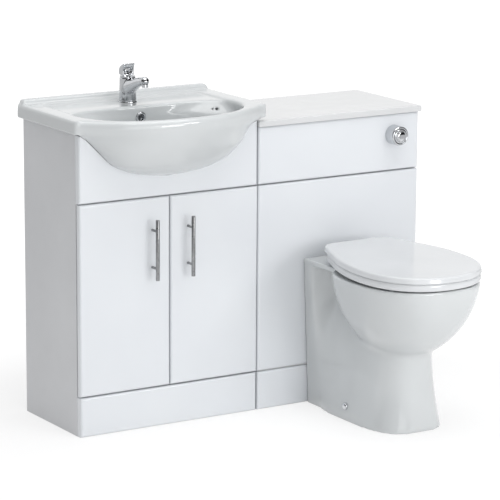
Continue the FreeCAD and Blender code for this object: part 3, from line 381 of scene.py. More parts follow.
def satin_steel():
    """Stainless steel bar with a fine satin grind around it: broad grey highlights along the bar."""
    material, tree, surface, place = start_material("satin_stainless_steel")
    # Finger marks about 14 mm across
    clouds = add(tree, "ShaderNodeTexNoise", {"Scale": 1 / (14 * mm), "Detail": 3.0}, {"Vector": place})
    share = add(
        tree,
        "ShaderNodeMapRange",
        {"From Min": noise_low, "From Max": noise_high},
        {"Value": clouds.outputs["Fac"]},
    )
    colour = add(
        tree,
        "ShaderNodeMix",
        {"data_type": "RGBA", 6: linear("8E8F90"), 7: linear("A2A3A4")},
        {0: share.outputs["Result"]},
    )
    tree.links.new(colour.outputs[2], surface.inputs["Base Color"])
    # The belt's passes, really under 1 mm, drawn at 7 mm so that they show
    ground = add(tree, "ShaderNodeTexNoise", {"Scale": 1 / (6.7 * mm), "Detail": 2.0}, {"Vector": place})
    polish = add(
        tree,
        "ShaderNodeMapRange",
        {"From Min": noise_low, "From Max": noise_high, "To Min": 0.26, "To Max": 0.36},
        {"Value": ground.outputs["Fac"]},
    )
    tree.links.new(polish.outputs["Result"], surface.inputs["Roughness"])
    surface.inputs["Metallic"].default_value = 1.0
    return material


def polypropylene():
    """Moulded white polypropylene: a waxy satin skin with a fine spark-eroded grain."""
    material, tree, surface, place = start_material("white_polypropylene")
    # The resin's tone drifts over 83 mm
    clouds = add(tree, "ShaderNodeTexNoise", {"Scale": 1 / (83 * mm), "Detail": 3.0}, {"Vector": place})
    share = add(
        tree,
        "ShaderNodeMapRange",
        {"From Min": noise_low, "From Max": noise_high},
        {"Value": clouds.outputs["Fac"]},
    )
    colour = add(
        tree,
        "ShaderNodeMix",
        {"data_type": "RGBA", 6: linear("DCDDDD"), 7: linear("E4E5E5")},
        {0: share.outputs["Result"]},
    )
    tree.links.new(colour.outputs[2], surface.inputs["Base Color"])
    # The skin is waxier in patches of 25 mm
    waxy = add(tree, "ShaderNodeTexNoise", {"Scale": 1 / (25 * mm), "Detail": 2.0}, {"Vector": place})
    polish = add(
        tree,
        "ShaderNodeMapRange",
        {"From Min": noise_low, "From Max": noise_high, "To Min": 0.34, "To Max": 0.5},
        {"Value": waxy.outputs["Fac"]},
    )
    tree.links.new(polish.outputs["Result"], surface.inputs["Roughness"])
    # Spark-eroded grain, really about 0.1 mm, drawn at 0.8 mm so that it shows
    eroded = add(tree, "ShaderNodeTexNoise", {"Scale": 1 / (0.83 * mm), "Detail": 2.0}, {"Vector": place})
    relief = add(
        tree,
        "ShaderNodeBump",
        {"Strength": 0.08, "Distance": 0.3 * mm},
        {"Height": eroded.outputs["Fac"]},
    )
    tree.links.new(relief.outputs["Normal"], surface.inputs["Normal"])
    surface.inputs["IOR"].default_value = 1.49
    return material


def grey_rubber():
    """Soft grey rubber: a matt skin that scatters light and picks up dust."""
    material, tree, surface, place = start_material("soft_grey_rubber")
    # Dust lies in patches of 11 mm
    clouds = add(tree, "ShaderNodeTexNoise", {"Scale": 1 / (11 * mm), "Detail": 3.0}, {"Vector": place})
    share = add(
        tree,
        "ShaderNodeMapRange",
        {"From Min": noise_low, "From Max": noise_high},
        {"Value": clouds.outputs["Fac"]},
    )
    colour = add(
        tree,
        "ShaderNodeMix",
        {"data_type": "RGBA", 6: linear("8A8D90"), 7: linear("A0A3A5")},
        {0: share.outputs["Result"]},
    )
    tree.links.new(colour.outputs[2], surface.inputs["Base Color"])
    # The bloom on the skin varies over 5 mm
    bloom = add(tree, "ShaderNodeTexNoise", {"Scale": 1 / (5 * mm), "Detail": 2.0}, {"Vector": place})
    polish = add(
        tree,
        "ShaderNodeMapRange",
        {"From Min": noise_low, "From Max": noise_high, "To Min": 0.6, "To Max": 0.8},
        {"Value": bloom.outputs["Fac"]},
    )
    tree.links.new(polish.outputs["Result"], surface.inputs["Roughness"])
    # Mould grain, really about 0.1 mm, drawn at 0.7 mm so that it shows
    grain = add(tree, "ShaderNodeTexNoise", {"Scale": 1 / (0.67 * mm), "Detail": 2.0}, {"Vector": place})
    relief = add(
        tree,
        "ShaderNodeBump",
        {"Strength": 0.1, "Distance": 0.3 * mm},
        {"Height": grain.outputs["Fac"]},
    )
    tree.links.new(relief.outputs["Normal"], surface.inputs["Normal"])
    return material


finishes = {
    "gloss_front": gloss_film("gloss_film_on_fibreboard", "DADDE1", "DFE2E5"),
    "worktop": gloss_film("gloss_laminate_worktop", "CFD0D1", "D5D6D7"),
    "carcass": melamine(),
    "glaze": glaze(),
    "seat_plastic": urea(),
    "chrome": chrome(),
    "satin_steel": satin_steel(),
    "steel": zinc_steel(),
    "white_plastic": polypropylene(),
    "rubber": grey_rubber(),
}
slot_of = {entry["node"]: entry["material_slot"] for entry in frame["record"]["subparts"]}


def paint(piece, slot):
    """Gives a piece the finish of a slot."""
    piece.data.materials.clear()
    piece.data.materials.append(finishes[slot])


for name, node in nodes.items():
    paint(node, slot_of[name])


# Modelling helpers


def let_go():
    """Leaves edit mode with nothing selected."""
    if bpy.context.object and bpy.context.object.mode != "OBJECT":
        bpy.ops.object.mode_set(mode="OBJECT")
    bpy.ops.object.select_all(action="DESELECT")


def take(*pieces):
    """Selects pieces, the last one active."""
    let_go()
    for piece in pieces:
        piece.select_set(True)
        bpy.context.view_layer.objects.active = piece


def settle(name):
    """Names the new object and puts its place and scale into its mesh."""
    piece = bpy.context.object
    piece.name = name
    bpy.ops.object.transform_apply(location=True, rotation=True, scale=True)
    return piece


def cuboid(name, low, high):
    """A box between two corners."""
    let_go()
    low = Vector(low)
    high = Vector(high)
    bpy.ops.mesh.primitive_cube_add(size=1, location=(low + high) / 2, scale=high - low)
    return settle(name)


def bar(name, start, end, radius, sides=48):
    """A round bar between two points."""
    let_go()
    start = Vector(start)
    run = Vector(end) - start
    turn = run.to_track_quat("Z", "Y").to_euler()
    bpy.ops.mesh.primitive_cylinder_add(
        vertices=sides, radius=radius, depth=run.length, location=start + run / 2, rotation=turn
    )
    return settle(name)


def edit_edges(piece, test):
    """Opens a piece in edit mode with the edges selected whose two ends pass a test."""
    take(piece)
    bpy.ops.object.mode_set(mode="EDIT")
    bpy.ops.mesh.select_mode(type="EDGE")
    bpy.ops.mesh.select_all(action="DESELECT")
    mesh = bmesh.from_edit_mesh(piece.data)
    for edge in mesh.edges:
        edge.select_set(test(edge.verts[0].co, edge.verts[1].co))
    bmesh.update_edit_mesh(piece.data)


def soften(piece, width, steps, test):
    """Rounds the edges that pass a test."""
    edit_edges(piece, test)
    bpy.ops.mesh.bevel(offset=width, segments=steps, affect="EDGES")
    bpy.ops.object.mode_set(mode="OBJECT")


def place_ring(piece, last, ring):
    """Moves the selected ring of points from where the last ring was to the new one."""
    mesh = bmesh.from_edit_mesh(piece.data)
    finder = KDTree(len(last))
    for step, point in enumerate(last):
        finder.insert(point, step)
    finder.balance()
    for vert in mesh.verts:
        if vert.select:
            vert.co = ring[finder.find(vert.co)[1]]
    bmesh.update_edit_mesh(piece.data)


def drawn(name, rings, closed=True):
    """A form through rings of points: a circle extruded from ring to ring. An open form joins its ends."""
    let_go()
    count = len(rings[0])
    bpy.ops.mesh.primitive_circle_add(vertices=count, radius=1, fill_type="NGON" if closed else "NOTHING")
    piece = settle(name)
    circle = [vert.co.copy() for vert in piece.data.vertices]
    bpy.ops.object.mode_set(mode="EDIT")
    bpy.ops.mesh.select_mode(type="VERT")
    bpy.ops.mesh.select_all(action="SELECT")
    place_ring(piece, circle, rings[0])
    for last, ring in zip(rings, rings[1:]):
        if closed:
            bpy.ops.mesh.extrude_region_move()
        else:
            bpy.ops.mesh.extrude_edges_move()
        place_ring(piece, last, ring)
    bpy.ops.mesh.select_all(action="SELECT")
    bpy.ops.mesh.remove_doubles(threshold=0.00001)
    bpy.ops.mesh.normals_make_consistent(inside=False)
    bpy.ops.object.mode_set(mode="OBJECT")
    return piece


def turned(name, place, axis, profile, count=64, closed=True):
    """A round form about an axis through a place, from (radius, distance along the axis) steps."""
    place = Vector(place)
    axis = Vector(axis).normalized()
    side = axis.orthogonal().normalized()
    other = axis.cross(side)
    rings = []
    for radius, along in profile:
        ring = []
        for step in range(count):
            angle = 2 * math.pi * step / count
            ring.append(place + axis * along + (side * math.cos(angle) + other * math.sin(angle)) * radius)
        rings.append(ring)
    return drawn(name, rings, closed)


def smooth_by_angle(piece, degrees):
    """Shades a piece smooth apart from its sharp edges."""
    take(piece)
    bpy.ops.object.shade_smooth_by_angle(angle=math.radians(degrees))


def signed_power(value, power):
    """The power of a number's size, with its sign kept."""
    return math.copysign(abs(value) ** power, value)


def ease(value):
    """A smooth step from 0 to 1."""
    value = min(max(value, 0.0), 1.0)
    return value * value * (3 - 2 * value)


def egg_ring(x, y_wide, half, y_front, y_rear, z, front_power=2.0, rear_power=2.0, count=96):
    """A level egg-shaped ring of points, widest at y_wide, whose ends get squarer as their powers grow."""
    ring = []
    for step in range(count):
        angle = 2 * math.pi * step / count
        along = math.sin(angle)
        power = front_power if along < 0 else rear_power
        reach = y_wide - y_front if along < 0 else y_rear - y_wide
        ring.append(
            Vector(
                (
                    x + half * signed_power(math.cos(angle), 2 / power),
                    y_wide + reach * signed_power(along, 2 / power),
                    z,
                )
            )
        )
    return ring


def combine(piece, other, way):
    """Joins another solid to a piece or cuts it away, and uses the other one up."""
    take(piece)
    bpy.ops.object.modifier_add(type="BOOLEAN")
    step = piece.modifiers[-1]
    step.operation = way
    step.solver = "EXACT"
    step.object = other
    bpy.ops.object.modifier_apply(modifier=step.name)
    bpy.data.objects.remove(other)


def rub(piece, passes, share=None):
    """Smooths a skin, all over or by a share from 0 to 1 that each point's place gives."""
    take(piece)
    bpy.ops.object.modifier_add(type="SMOOTH")
    step = piece.modifiers[-1]
    step.factor = 0.5
    step.iterations = passes
    if share:
        group = piece.vertex_groups.new(name="rubbed")
        for vert in piece.data.vertices:
            group.add([vert.index], min(max(share(vert.co), 0.0), 1.0), "REPLACE")
        step.vertex_group = group.name
    bpy.ops.object.modifier_apply(modifier=step.name)
    piece.vertex_groups.clear()


def fired(piece, grain, passes):
    """Turns a joined form into one even skin whose edges are soft, as glaze leaves them."""
    take(piece)
    bpy.ops.object.modifier_add(type="REMESH")
    skin = piece.modifiers[-1]
    skin.mode = "VOXEL"
    skin.voxel_size = grain
    bpy.ops.object.modifier_apply(modifier=skin.name)
    rub(piece, passes)
    bpy.ops.object.shade_smooth()


def merge(name, *pieces):
    """Joins pieces into one object."""
    take(*pieces)
    bpy.ops.object.join()
    piece = bpy.context.object
    piece.name = name
    piece.data.name = name
    return piece


def finish_piece(piece, body, slot, *replaced):
    """Paints a finished piece, fixes it to its body and hides the solids that it stands for."""
    paint(piece, slot)
    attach(piece, body)
    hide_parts(*replaced)


# Basin

basin_half = measure((basin_high[0] - basin_low[0]) / 2)
deck_overhang = 0.016
deck_front = y_face - deck_overhang
deck_side = 0.034
deck_wall = 0.014
deck_hollow_top = measure(deck_top - 0.023)
upstand_inset = 0.006
upstand_depth = 0.024
above_basin = 0.850
y_bowl = y_face + 0.040
y_waste = y_face + 0.065
bowl_floor = measure(basin_low[2])
bowl_low = measure(bowl_floor + 0.010)
bowl_rim = measure(deck_top - 0.011)
bowl_foot = 0.047
bowl_sag = 0.0022
bowl_arc_half = 0.191
bowl_arc_height = 0.071
shoulder_drop = 0.024
shoulder_flare = 0.011
bowl_back = 0.040
bowl_bulge = 0.112
bowl_plan_power = 2.8
bowl_side_power = 1.6
skin_half = 0.270
skin_power = 2.6
lip_start = deck_top - 0.020
lip_rise = 0.0195
lip_roll = 0.012
bowl_inner_back = 0.130
bowl_rear_taper = 0.85
bowl_wall = 0.015
upper_wall = 0.034
rim_wall = 0.020
hollow_foot = 0.038
opening_half = 0.230
opening_back = 0.108
y_opening = y_bowl + 0.028
y_tap = y_wall - 0.079
ledge_top = measure(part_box("tap_base_ring")[0][2])
recess_side = 0.050
recess_front = y_bowl + 0.030
recess_rear = y_wall - 0.038
tap_hole = 0.017
waste_hole = 0.0225
overflow_hole = 0.0115
overflow_height = measure((overflow_low[2] + overflow_high[2]) / 2)
panel_gap = 0.0015
basin_grain = 0.003


def bowl_half(z):
    """Half the bowl's width in the fascia's plane: an oval arc, straight flanks and a flared shoulder."""
    rise = min(max(z, bowl_low + 0.001), vanity_top) - bowl_low
    slant = bowl_arc_height / math.hypot(bowl_arc_half, bowl_arc_height)
    flank_start = bowl_arc_height * (1 - slant)
    if rise < flank_start:
        return bowl_arc_half * math.sqrt(1 - (1 - rise / bowl_arc_height) ** 2)
    half = bowl_arc_half * math.sqrt(1 - slant * slant) + rise - flank_start
    flare = max(rise - (vanity_top - shoulder_drop - bowl_low), 0.0) / shoulder_drop
    return half + shoulder_flare * flare * flare


def bowl_swell(z):
    """How far the bowl stands out in front at a height, and how far it reaches behind."""
    drop = min(max((bowl_rim - z) / (bowl_rim - bowl_low), 0.0), 0.99)
    swell = bowl_bulge * (1 - drop**bowl_side_power) ** (1 / bowl_side_power)
    rear = (bowl_inner_back + bowl_wall) * math.sqrt(1 - (bowl_rear_taper * drop) ** 2)
    return swell, rear


def bowl_ring(z, grow):
    """The outside of the bowl at a height, made larger all round by a margin."""
    swell, rear = bowl_swell(z)
    reach = bowl_back + swell
    draw = (1 - (bowl_back / reach) ** bowl_plan_power) ** (1 / bowl_plan_power)
    wide = min(bowl_half(z) / draw, basin_half - 0.005) + grow
    y_front = y_bowl - reach - grow
    return egg_ring(x_basin, y_bowl, wide, y_front, y_bowl + rear + grow, z, bowl_plan_power, 2.0, 144)


def skin_ring(z, inset, count=72):
    """The bowl's outer skin at a height: it swells out of the deck's front with a soft bend on each side."""
    swell, rear = bowl_swell(z)
    overhang = deck_overhang * ease((z - vanity_top + 0.030) / 0.046)
    y_line = y_face - overhang
    half = bowl_half(z) + (skin_half - bowl_half(vanity_top)) * ease((z - vanity_top + 0.004) / 0.02)
    # The bend at each side is tight low down and gets softer toward the deck
    bend = 0.5 + 0.7 * ease((z - vanity_top + 0.061) / 0.075)
    ring = []
    for step in range(count):
        across = half * signed_power(math.cos(math.pi * step / count), 0.8)
        out = (1 - (abs(across) / half) ** skin_power) ** bend
        ring.append(Vector((x_basin - across, y_line - max((swell - overhang) * out - inset, 0.0), z)))
    for step in range(count):
        angle = math.pi * step / count
        y = y_line + (rear + bowl_back) * math.sin(angle)
        ring.append(Vector((x_basin + half * math.cos(angle), y, z)))
    return ring


def bowl_form():
    """The outside of the bowl, from its flat bottom up to a rim that rolls over to the deck."""
    foot = []
    for step in range(144):
        angle = math.pi * step / 72
        x = x_basin - bowl_foot * math.cos(angle)
        y = y_waste - bowl_foot * math.sin(angle)
        foot.append(Vector((x, y, bowl_floor)))
    rings = [foot]
    for step in range(1, 31):
        ring = skin_ring(bowl_low + (lip_start - bowl_low) * (step / 30) ** 1.3, 0.0)
        for point in ring:
            point.z -= bowl_sag * (1 - step / 30) ** 3
        rings.append(ring)
    for step in range(1, 7):
        angle = math.pi / 2 * step / 6
        rings.append(skin_ring(lip_start + lip_rise * math.sin(angle), lip_roll * (1 - math.cos(angle))))
    return drawn("bowl_form", rings)


def bowl_hollow():
    """The inside of the bowl, from its floor to above the deck."""
    y_near = y_waste - hollow_foot
    y_far = y_waste + hollow_foot
    rings = [egg_ring(x_basin, y_waste, hollow_foot, y_near, y_far, bowl_floor + bowl_wall, count=144)]
    # The wall gets thicker from the bottom, where the share of the bowl's height is 0, to the rim
    walls = (
        (0.12, 0.018),
        (0.2, 0.019),
        (0.3, 0.020),
        (0.4, 0.021),
        (0.51, 0.024),
        (0.62, 0.027),
        (0.74, 0.0305),
        (0.85, upper_wall),
    )
    for share, wall in walls:
        rings.append(bowl_ring(bowl_low + share * (bowl_rim - bowl_low), -wall))
    front = y_bowl - bowl_back - bowl_bulge + rim_wall
    rear = y_bowl + opening_back
    for rise, grow in ((-0.012, -0.001), (-0.004, 0.0005), (0.004, 0.004), (0.03, 0.004)):
        half = opening_half + grow
        z = deck_top + rise
        rings.append(egg_ring(x_basin, y_opening, half, front - grow, rear + grow, z, 2.2, 3.2, 144))
    return drawn("bowl_hollow", rings)


def bowl_front_share(co):
    """Where the basin's skin is rubbed: the bowl's front, clear of its bottom and of the deck's ends."""
    behind = (y_bowl + 0.12 - co.y) / 0.03
    ends = (skin_half - 0.002 - abs(co.x - x_basin)) / 0.012
    bottom = (co.z - bowl_low - 0.010) / 0.02
    return min(behind, ends, bottom)


def upstand_share(co):
    """Where the basin's skin is rubbed again: behind the bowl, from the deck up."""
    return min((co.z - deck_top + 0.021) / 0.01, (co.y - y_bowl - 0.10) / 0.03)


def make_basin():
    """The basin: a hollow deck with a raised border and an upstand, and the bowl that bulges before it."""
    left = x_basin - basin_half
    right = x_basin + basin_half
    basin = cuboid("basin_skin", (left, deck_front, vanity_top), (right, y_wall, deck_top))
    soften(basin, 0.012, 5, lambda a, b: abs(a.z - b.z) > 0.01 and max(a.y, b.y) < deck_front + 0.001)
    soften(basin, 0.005, 3, lambda a, b: min(a.z, b.z) > deck_top - 0.0001 and min(a.y, b.y) < y_wall - 0.001)
    deck_hollow = cuboid(
        "deck_hollow",
        (left + deck_side, deck_front + deck_wall, vanity_top - 0.01),
        (right - deck_side, y_wall - deck_wall, deck_hollow_top),
    )
    combine(basin, deck_hollow, "DIFFERENCE")
    upstand = cuboid(
        "upstand",
        (left + upstand_inset, y_wall - upstand_depth, bowl_rim),
        (right - upstand_inset, y_wall, upstand_top),
    )
    soften(upstand, 0.008, 4, lambda a, b: min(a.z, b.z) > deck_top and min(a.y, b.y) < y_wall - 0.001)
    combine(basin, upstand, "UNION")
    combine(basin, bowl_form(), "UNION")
    combine(basin, bowl_hollow(), "DIFFERENCE")
    recess = cuboid(
        "tap_recess",
        (left + recess_side, recess_front, ledge_top),
        (right - recess_side, recess_rear, above_basin),
    )
    soften(recess, 0.020, 6, lambda a, b: abs(a.z - b.z) > 0.01)
    combine(basin, recess, "DIFFERENCE")
    holes = (
        ("tap_hole", (x_basin, y_tap, vanity_top - 0.006), (x_basin, y_tap, above_basin), tap_hole),
        (
            "waste_hole",
            (x_basin, y_waste, bowl_floor - 0.0135),
            (x_basin, y_waste, bowl_floor + 0.0365),
            waste_hole,
        ),
        (
            "overflow_hole",
            (x_basin, y_bowl + 0.06, overflow_height),
            (x_basin, y_bowl + 0.19, overflow_height),
            overflow_hole,
        ),
    )
    for hole in holes:
        combine(basin, bar(*hole), "DIFFERENCE")
    for side in ("vanity_left_side", "vanity_right_side"):
        low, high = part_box(side)
        room = cuboid(
            "panel_room",
            (measure(low[0]) - panel_gap, measure(low[1]) - panel_gap, bowl_floor - 0.0035),
            (measure(high[0]) + panel_gap, y_wall + 0.01, vanity_top),
        )
        combine(basin, room, "DIFFERENCE")
    fired(basin, basin_grain, 4)
    rub(basin, 24, bowl_front_share)
    rub(basin, 10, upstand_share)
    finish_piece(basin, "cabinet", "glaze", "basin")


# Pan

y_pan_back = y_face - 0.001
pan_top = measure(pan_high[2])
pan_half = measure((pan_high[0] - pan_low[0]) / 2)
y_widest = y_face - 0.285
pan_front = 0.227
pan_rear = 0.152
pan_depth = 0.221
pan_bowl_power = 1.77
pan_hollow_half = 0.122
pan_hollow_front = 0.171
pan_hollow_rear = 0.119
pan_hollow_depth = 0.190
y_sump = y_widest + 0.02
sump_low = 0.160
sump_high = 0.270
sump_radius = 0.042
column_half = 0.111
column_foot_half = 0.095
ledge_reach = 0.165
ledge_thickness = 0.014
neck_height = 0.165
neck_half = 0.090
neck_pinch = 0.034
foot_flare = 0.019
pedestal_top = 0.384
pedestal_reach = 0.378
pedestal_middle = 0.200
foot_reach = 0.014
soil_height = 0.180
spigot_radius = 0.051
spigot_bore = 0.045
y_spigot_end = measure(pan_high[1])
pan_grain = 0.004


def half_egg(name, half, front, rear, depth, shares):
    """A bowl's form below the rim, whose levels shrink almost as an ellipse does."""
    rings = []
    for share in shares:
        size = (1 - max(share, 0.0) ** pan_bowl_power) ** (1 / pan_bowl_power)
        y_front = y_widest - front * size
        y_rear = y_widest + rear * size
        z = pan_top - share * depth
        rings.append(egg_ring(x_pan, y_widest, half * size, y_front, y_rear, z, 2.5, 2.6))
    return drawn(name, rings)


def pedestal_ring(z, count=40):
    """The pedestal at a height: a squarish front, and sides that hollow out and swell to the column."""
    rest = max(1 - z / neck_height, 0.0) ** 1.5
    pinch = neck_pinch * ease((z - 0.15) / 0.17)
    half = neck_half + foot_flare * rest - pinch
    column = column_foot_half + (column_half - column_foot_half) * z / pan_top
    y_middle = y_face - pedestal_middle
    reach = pedestal_reach + foot_reach * rest - pedestal_middle
    power = 2 / (2.6 + 0.4 * rest)
    front = []
    for step in range(count + 1):
        angle = math.pi * step / count
        across = half * signed_power(math.cos(angle), power)
        front.append(Vector((x_pan - across, y_middle - reach * math.sin(angle) ** power, z)))
    run = y_pan_back - y_middle
    ridge = run - 0.062 + 0.024 * ease(z / pan_top)
    valley = 0.2 * run + 0.25 * run * ease((z - 0.1) / 0.2)
    sides = []
    steps = 24
    for step in range(1, steps + 1):
        y = run * step / steps
        swell = min(max((y - valley) / (ridge - valley), 0.0), 1.0) ** 2.4
        sides.append((half + (column - half) * swell, y_middle + y))
    right = [Vector((x_pan + across, y, z)) for across, y in sides]
    left = [Vector((x_pan - across, y, z)) for across, y in reversed(sides)]
    return front + right + left


def pan_bowl_share(co):
    """Where the pan's skin is rubbed: all but its foot, its rim and the column at the panel."""
    foot = co.z / 0.03 - 0.4
    rim = (pan_top - 0.012 - co.z) / 0.03
    column = (y_face - 0.075 - co.y) / 0.03
    return min(foot, rim, column)


def neck_share(co):
    """Where the pan's skin is rubbed again: its neck, clear of the foot, bowl, column and front."""
    bowl = (0.27 - co.z) / 0.05
    foot = (co.z - 0.10) / 0.04
    column = (y_face - 0.10 - co.y) / 0.04
    front = (co.y - y_face + 0.34) / 0.08
    return min(bowl, foot, column, front)


def make_pan():
    """The pan: column and ledge at the panel, half-egg bowl and flared pedestal, in one glazed skin."""
    shares = (0.985, 0.96, 0.92, 0.86, 0.78, 0.69, 0.59, 0.48, 0.36, 0.24, 0.12, 0.05, 0.0)
    pan = half_egg("pan_skin", pan_half, pan_front, pan_rear, pan_depth, shares)
    pedestal = drawn("pedestal", [pedestal_ring(pedestal_top * step / 24) for step in range(25)])
    combine(pan, pedestal, "UNION")
    ledge = cuboid(
        "ledge",
        (x_pan - column_half, y_face - ledge_reach, pan_top - ledge_thickness),
        (x_pan + column_half, y_pan_back, pan_top),
    )
    combine(pan, ledge, "UNION")
    shares = (0.96, 0.88, 0.79, 0.72, 0.61, 0.5, 0.38, 0.25, 0.12, 0.0, -0.05)
    hollow = half_egg(
        "pan_hollow", pan_hollow_half, pan_hollow_front, pan_hollow_rear, pan_hollow_depth, shares
    )
    combine(pan, hollow, "DIFFERENCE")
    sump = bar("sump", (x_pan, y_sump, sump_low), (x_pan, y_sump, sump_high), sump_radius)
    combine(pan, sump, "DIFFERENCE")
    fired(pan, pan_grain, 6)
    rub(pan, 60, pan_bowl_share)
    rub(pan, 140, neck_share)
    spigot_start = (x_pan, y_pan_back - 0.02, soil_height)
    spigot = bar("soil_spigot", spigot_start, (x_pan, y_spigot_end, soil_height), spigot_radius, 64)
    bore_start = (x_pan, y_face + 0.003, soil_height)
    bore = bar("soil_bore", bore_start, (x_pan, y_spigot_end + 0.009, soil_height), spigot_bore, 64)
    combine(spigot, bore, "DIFFERENCE")
    pan = merge("pan_skin", spigot, pan)
    finish_piece(pan, "cabinet", "glaze", "pan")


def make_screw_caps():
    """A small bright dome over each of the two screws that hold the pan down."""
    low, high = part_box("pan_screw_caps")
    y_cap = (low[1] + high[1]) / 2
    z_cap = (low[2] + high[2]) / 2
    caps = []
    for side, end in ((-1, low[0]), (1, high[0])):
        cap = turned(
            "cap",
            (end, y_cap, z_cap),
            (-side, 0, 0),
            (
                (0.0020, 0.0),
                (0.0050, 0.0004),
                (0.0075, 0.0014),
                (0.0088, 0.0028),
                (0.0094, 0.0044),
                (0.0095, 0.0120),
                (0.0030, 0.0122),
                (0.0030, 0.0170),
            ),
            40,
        )
        caps.append(cap)
    pair = merge("screw_domes", *caps)
    smooth_by_angle(pair, 40)
    finish_piece(pair, "cabinet", "chrome", "pan_screw_caps")


# Seat and lid, modelled level and then tipped about the hinge axis

lug_radius = 0.0065
lug_length = 0.012
lug_gap = 0.0096
hinge_post_offset = 0.060
y_axis = y_face - 0.080
z_axis = measure(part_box("seat_hinge_posts")[1][2] - lug_radius)
seat_slope = math.radians(1.6)
seat_low = 0.406
seat_rear = 0.0915
seat_inset = 0.001
seat_hole_half = 0.104
lid_low = 0.4265
lid_high = 0.4435
lid_rear = 0.071
lid_front = y_face - 0.5133
lid_brow = 0.0062
lid_lean = 0.0014
lid_crown = 0.0016
y_cover = y_face - 0.325
cover_half = 0.168
cover_rear_half = 0.098
cover_corner = 0.042
cover_bend = 0.52
cover_power = 2.27
cover_run = y_face - lid_rear - y_cover
cover_slope = (cover_half - cover_rear_half) / (cover_run * (1 - cover_bend / 2))


def tip(piece):
    """Turns a level piece about the hinge axis, so that it falls to the front."""
    take(piece)
    bpy.ops.transform.rotate(
        value=-seat_slope, orient_axis="X", orient_type="GLOBAL", center_override=(x_pan, y_axis, z_axis)
    )
    bpy.ops.object.transform_apply(location=True, rotation=True, scale=True)


def draw_in(behind):
    """How far a side of the lid or the seat has drawn in, a distance behind its widest place."""
    bend = cover_bend * cover_run
    if behind < bend:
        return cover_slope * behind**2 / (2 * bend)
    return cover_slope * (behind - bend / 2)


def cover_ring(grow, rear, z):
    """The outline of the lid or the seat: a round front, and sides that draw in to a straight rear edge."""
    half = cover_half + grow
    front = y_cover - lid_front + grow
    behind = y_face - rear + grow - y_cover
    radius = max(cover_corner + grow, 0.004)
    turn = math.atan(cover_slope)
    corner = half - draw_in(behind) - radius * math.tan(math.pi / 4 - turn / 2)
    corner_start = behind - radius * (1 - math.sin(turn))
    right = []
    for step in range(1, 41):
        angle = math.pi / 2 * step / 40
        across = half * math.sin(angle) ** (2 / cover_power)
        right.append((across, -front * abs(math.cos(angle)) ** (2 / cover_power)))
    for step in range(1, 20):
        y = corner_start * step / 20
        right.append((half - draw_in(y), y))
    for step in range(9):
        angle = turn + (math.pi / 2 - turn) * step / 8
        y = behind - radius + radius * math.sin(angle)
        right.append((corner + radius * math.cos(angle), y))
    right += [(corner * 0.75, behind), (corner * 0.5, behind), (corner * 0.25, behind)]
    outline = [(0.0, -front)] + right + [(0.0, behind)] + [(-x, y) for x, y in reversed(right)]
    return [Vector((x_pan + x, y_cover + y, z)) for x, y in outline]


def drawn_to(centre, ring, share, z):
    """A ring drawn in toward a centre by a share, at a height."""
    inner = [point.lerp(centre, share) for point in ring]
    for point in inner:
        point.z = z
    return inner


def with_lugs(plate, start, y_near, y_far, top):
    """Joins a lug beside each hinge post to a plate, with a web up to the plate, and tips the whole."""
    parts = [plate]
    for side in (-1, 1):
        inner = x_pan + side * start
        outer = inner + side * lug_length
        lug = bar("lug", (inner, y_axis, z_axis), (outer, y_axis, z_axis), lug_radius, 32)
        soften(lug, 0.001, 2, lambda a, b: abs(a.x - b.x) < 0.0001)
        web = cuboid("web", (min(inner, outer), y_near, z_axis), (max(inner, outer), y_far, top))
        parts += [lug, web]
    piece = merge(plate.name, *reversed(parts))
    tip(piece)
    smooth_by_angle(piece, 40)
    return piece


def make_lid():
    """The lid: a round-fronted cover with a rounded brow and a shallow hollow under it, on two hinge lugs."""
    centre = Vector((x_pan, y_cover + 0.025, 0))
    rings = []
    inner_edge = cover_ring(-0.008, lid_rear, 0)
    for share, rise in ((0.8, 0.008), (0.16, 0.008), (0.12, 0.0075)):
        rings.append(drawn_to(centre, inner_edge, share, lid_low + rise))
    for grow, rise in ((-0.012, 0.0005), (-0.0012, 0.0), (0.0, 0.0012)):
        rings.append(cover_ring(grow, lid_rear, lid_low + rise))
    top = lid_high - lid_crown
    brow_start = math.radians(14)
    brow_turn = math.radians(76)
    for step in range(9):
        angle = brow_start + brow_turn * step / 8
        inset = lid_lean + lid_brow * (math.cos(brow_start) - math.cos(angle))
        rings.append(cover_ring(-inset, lid_rear, top - lid_brow * (1 - math.sin(angle))))
    top_edge = cover_ring(-lid_brow - lid_lean, lid_rear, 0)
    for share, rise in ((0.05, 0.0003), (0.13, 0.0007), (0.28, 0.0011), (0.5, 0.0014), (0.8, lid_crown)):
        rings.append(drawn_to(centre, top_edge, share, top + rise))
    lid = drawn("lid_cover", rings)
    lug_start = hinge_post_offset + lug_gap
    lid = with_lugs(lid, lug_start, y_axis - lug_radius, y_axis + lug_radius, lid_low + 0.009)
    finish_piece(lid, "lid", "seat_plastic", "lid")


